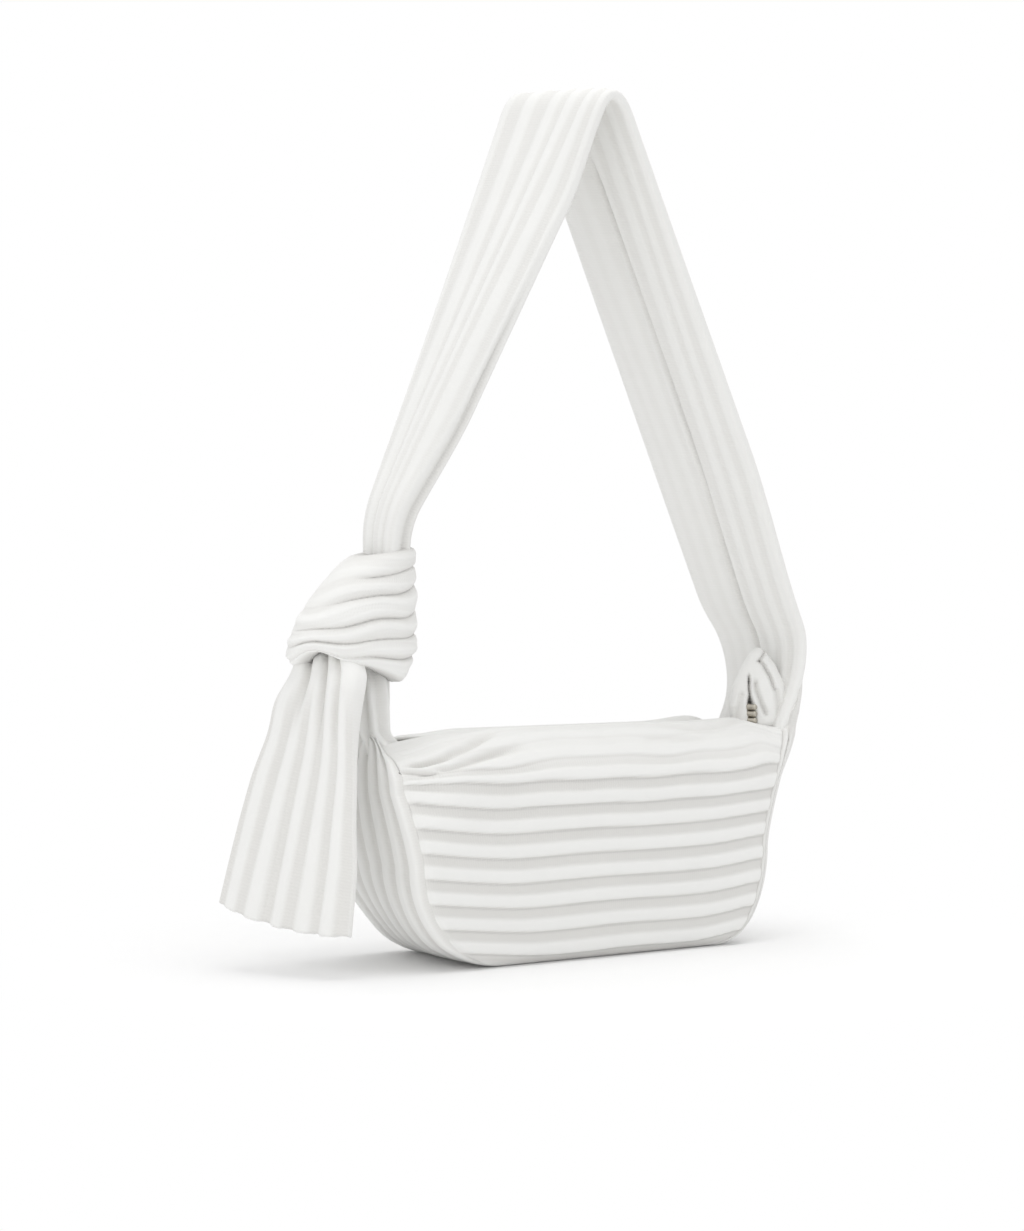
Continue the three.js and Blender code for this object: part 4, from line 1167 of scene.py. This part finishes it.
class BagSettings(bpy.types.PropertyGroup):
    """Sizes and colours of the bag's cloth, zip and studio"""

    knit_colour: colour_setting("Knit", "Colour of the ribs", 245, 245, 243)
    # Painted shade: the knit's colour darkened for the shade that falls between the ribs
    recess_shade_colour: colour_setting("Recesses", "Colour between the ribs", 232, 231, 228)
    lining_colour: colour_setting("Lining", "Colour of the lining", 226, 222, 212)
    tape_colour: colour_setting("Zip tape", "Colour of the zip's tape", 236, 234, 228)
    metal_colour: colour_setting("Zip metal", "Colour of the zip's metal", 196, 190, 178)
    board_colour: colour_setting("Base board", "Colour of the board in the base", 150, 144, 134)
    floor_colour: colour_setting("Floor", "Colour of the studio floor", 250, 250, 250)
    rib_height: bpy.props.FloatProperty(
        name="Rib height", description="How far a rib stands out", subtype="DISTANCE", unit="LENGTH",
        default=0.0018, min=0, max=0.005,
    )
    stitch_relief: bpy.props.FloatProperty(
        name="Stitch relief", description="How far the stitches stand out", subtype="DISTANCE",
        unit="LENGTH", default=0.0006, min=0, max=0.002,
    )
    key_power: bpy.props.FloatProperty(
        name="Key lamp", description="Power of the large lamp", unit="POWER", default=32.0, min=0, max=200
    )
    ambient: bpy.props.FloatProperty(
        name="Ambient", description="Strength of the even light", default=0.68, min=0, max=2
    )


def add_piece(skin, name, slot, *nodes):
    """Makes a piece with its slot's material, in place of the frame's nodes."""
    piece = skin.build(name, finish_of(slot))
    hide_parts(*nodes)
    return piece


def refinish(name, slot):
    """Gives a solid that the frame keeps its slot's material."""
    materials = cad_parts[name].data.materials
    materials.clear()
    materials.append(finish_of(slot))


def bend_with(piece, weights):
    """Bakes a piece's place into its points, and repeats its weights to one for each point, so that a
    wall's inner side has the weights of its outer side. The weights are not used further."""
    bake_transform(piece)
    every = np.resize(weights, len(piece.data.vertices)).astype(np.float32)


class BAG_OT_studio(bpy.types.Operator):
    """Add the floor, the lamps and the camera"""

    bl_idname = "bag.studio"
    bl_label = "Studio"

    def execute(self, context):
        bag = context.scene.knit_bag
        side = np.linspace(-3000, 3000, 3)
        floor = Skin()
        floor.grid(stack(side[None, :], side[:, None], 0), np.zeros((3, 3, 2)))
        floor.build("floor", floor_material(bag.floor_colour))
        studio_world(bag.ambient)
        for name, share, size, place in LAMPS:
            lamp = bpy.data.lights.new(name, "AREA")
            lamp.energy = bag.key_power * share
            lamp.size = size
            aim(name, lamp, place, LAMP_TARGET)
        camera = bpy.data.cameras.new("photo")
        camera.lens = FOCAL_PIXELS / PHOTO_HEIGHT * SENSOR
        camera.clip_end = 50
        context.scene.camera = aim("photo", camera, CAMERA_PLACE, CAMERA_TARGET)
        context.scene.view_settings.view_transform = "Standard"
        return {"FINISHED"}


class BAG_OT_panels(bpy.types.Operator):
    """Add the front and the back, with their tops and wadding"""

    bl_idname = "bag.panels"
    bl_label = "Front and back"

    def execute(self, context):
        height = context.scene.knit_bag.rib_height / MM
        for side, name in SIDES:
            skin, weights = panel_cloth(side, height)
            nodes = [f"{name}_{part}" for part in ("panel", "mouth", "wadding")]
            piece = add_piece(skin, f"{name}_cloth", "knit", *nodes)
            bend_with(piece, weights)
        return {"FINISHED"}


class BAG_OT_gusset(bpy.types.Operator):
    """Add the band round the ends and the base, and its board"""

    bl_idname = "bag.gusset"
    bl_label = "Gusset band"

    def execute(self, context):
        skin = gusset_cloth(context.scene.knit_bag.rib_height / MM)
        piece = add_piece(skin, "gusset_cloth", "knit", "gusset_band")
        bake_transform(piece)
        refinish("base_board", "board")
        return {"FINISHED"}


class BAG_OT_gathers(bpy.types.Operator):
    """Add the neck under the knot and the bunch at the mouth's other end"""

    bl_idname = "bag.gathers"
    bl_label = "Neck and bunch"

    def execute(self, context):
        neck = add_piece(neck_cloth(), "neck_cloth", "knit", "neck_left")
        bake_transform(neck)
        bunch = add_piece(bunch_cloth(), "bunch_cloth", "knit", "mouth_gather")
        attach(bunch, "bag")
        return {"FINISHED"}


class BAG_OT_strap(bpy.types.Operator):
    """Add the shoulder strap with its root"""

    bl_idname = "bag.strap"
    bl_label = "Shoulder strap"

    def execute(self, context):
        skin = strap_cloth(context.scene.knit_bag.rib_height / MM)
        piece = add_piece(skin, "strap_cloth", "knit", "shoulder_strap", "strap_root")
        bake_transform(piece)
        return {"FINISHED"}


class BAG_OT_knot(bpy.types.Operator):
    """Add the knot and its free end"""

    bl_idname = "bag.knot"
    bl_label = "Knot and tail"

    def execute(self, context):
        knot = add_piece(knot_cloth(), "knot_cloth", "knit", "knot_wrap", "knot_core")
        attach(knot, "strap")
        skin = tail_cloth(context.scene.knit_bag.rib_height / MM)
        tail = add_piece(skin, "tail_cloth", "knit", "knot_tail")
        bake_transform(tail)
        return {"FINISHED"}


class BAG_OT_lining(bpy.types.Operator):
    """Add the lining, the facings and the slip pocket"""

    bl_idname = "bag.lining"
    bl_label = "Lining"

    def execute(self, context):
        for side, name in SIDES:
            panel = add_piece(lining_panel(side), f"{name}_lining_cloth", "lining", f"lining_{name}")
            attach(panel, "bag")
            skin, weights = facing(side)
            strip = add_piece(skin, f"{name}_facing_cloth", "lining", f"{name}_facing")
            bend_with(strip, weights)
        band = add_piece(gusset_lining(), "gusset_lining_cloth", "lining", "lining_gusset")
        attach(band, "bag")
        pocket = add_piece(slip_pocket(), "pocket_cloth", "lining", "slip_pocket")
        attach(pocket, "bag")
        return {"FINISHED"}


class BAG_OT_zip(bpy.types.Operator):
    """Add the zip's tapes, teeth and tabs, and finish its slider, pull and stop"""

    bl_idname = "bag.zip"
    bl_label = "Zip"

    def execute(self, context):
        for side, name in SIDES:
            skin, weights = zip_tape(side)
            tape = add_piece(skin, f"{name}_tape", "tape", f"zip_tape_{name}")
            bend_with(tape, weights)
            skin, weights = zip_teeth(side)
            nodes = (f"zip_teeth_{name}", f"zip_top_stop_{name}")
            bend_with(add_piece(skin, f"{name}_teeth", "zip_metal", *nodes), weights)
        for name, start, stop in TABS:
            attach(add_piece(zip_tab(start, stop), f"tab_{name}", "tape", f"zip_tab_{name}"), "bag")
        for name in ("zip_slider", "zip_pull", "zip_bottom_stop"):
            refinish(name, "zip_metal")
        return {"FINISHED"}


OPERATORS = (
    BAG_OT_studio,
    BAG_OT_panels,
    BAG_OT_gusset,
    BAG_OT_gathers,
    BAG_OT_strap,
    BAG_OT_knot,
    BAG_OT_lining,
    BAG_OT_zip,
)


class BAG_PT_pieces(bpy.types.Panel):
    """The bag's pieces and settings"""

    bl_idname = "BAG_PT_pieces"
    bl_label = "Knotted knit bag"
    bl_space_type = "VIEW_3D"
    bl_region_type = "UI"
    bl_category = "Bag"

    def draw(self, context):
        for operator in OPERATORS:
            self.layout.operator(operator.bl_idname)
        for name in BagSettings.__annotations__:
            self.layout.prop(context.scene.knit_bag, name)


CLASSES = (BagSettings, *OPERATORS, BAG_PT_pieces)


def register():
    for each in CLASSES:
        bpy.utils.register_class(each)
    bpy.types.Scene.knit_bag = bpy.props.PointerProperty(type=BagSettings)


def unregister():
    del bpy.types.Scene.knit_bag
    for each in reversed(CLASSES):
        bpy.utils.unregister_class(each)


def main():
    register()
    bpy.ops.bag.studio()
    bpy.ops.bag.panels()
    bpy.ops.bag.gusset()
    bpy.ops.bag.gathers()
    bpy.ops.bag.strap()
    bpy.ops.bag.knot()
    bpy.ops.bag.lining()
    bpy.ops.bag.zip()


if __name__ == "__main__":
    main()
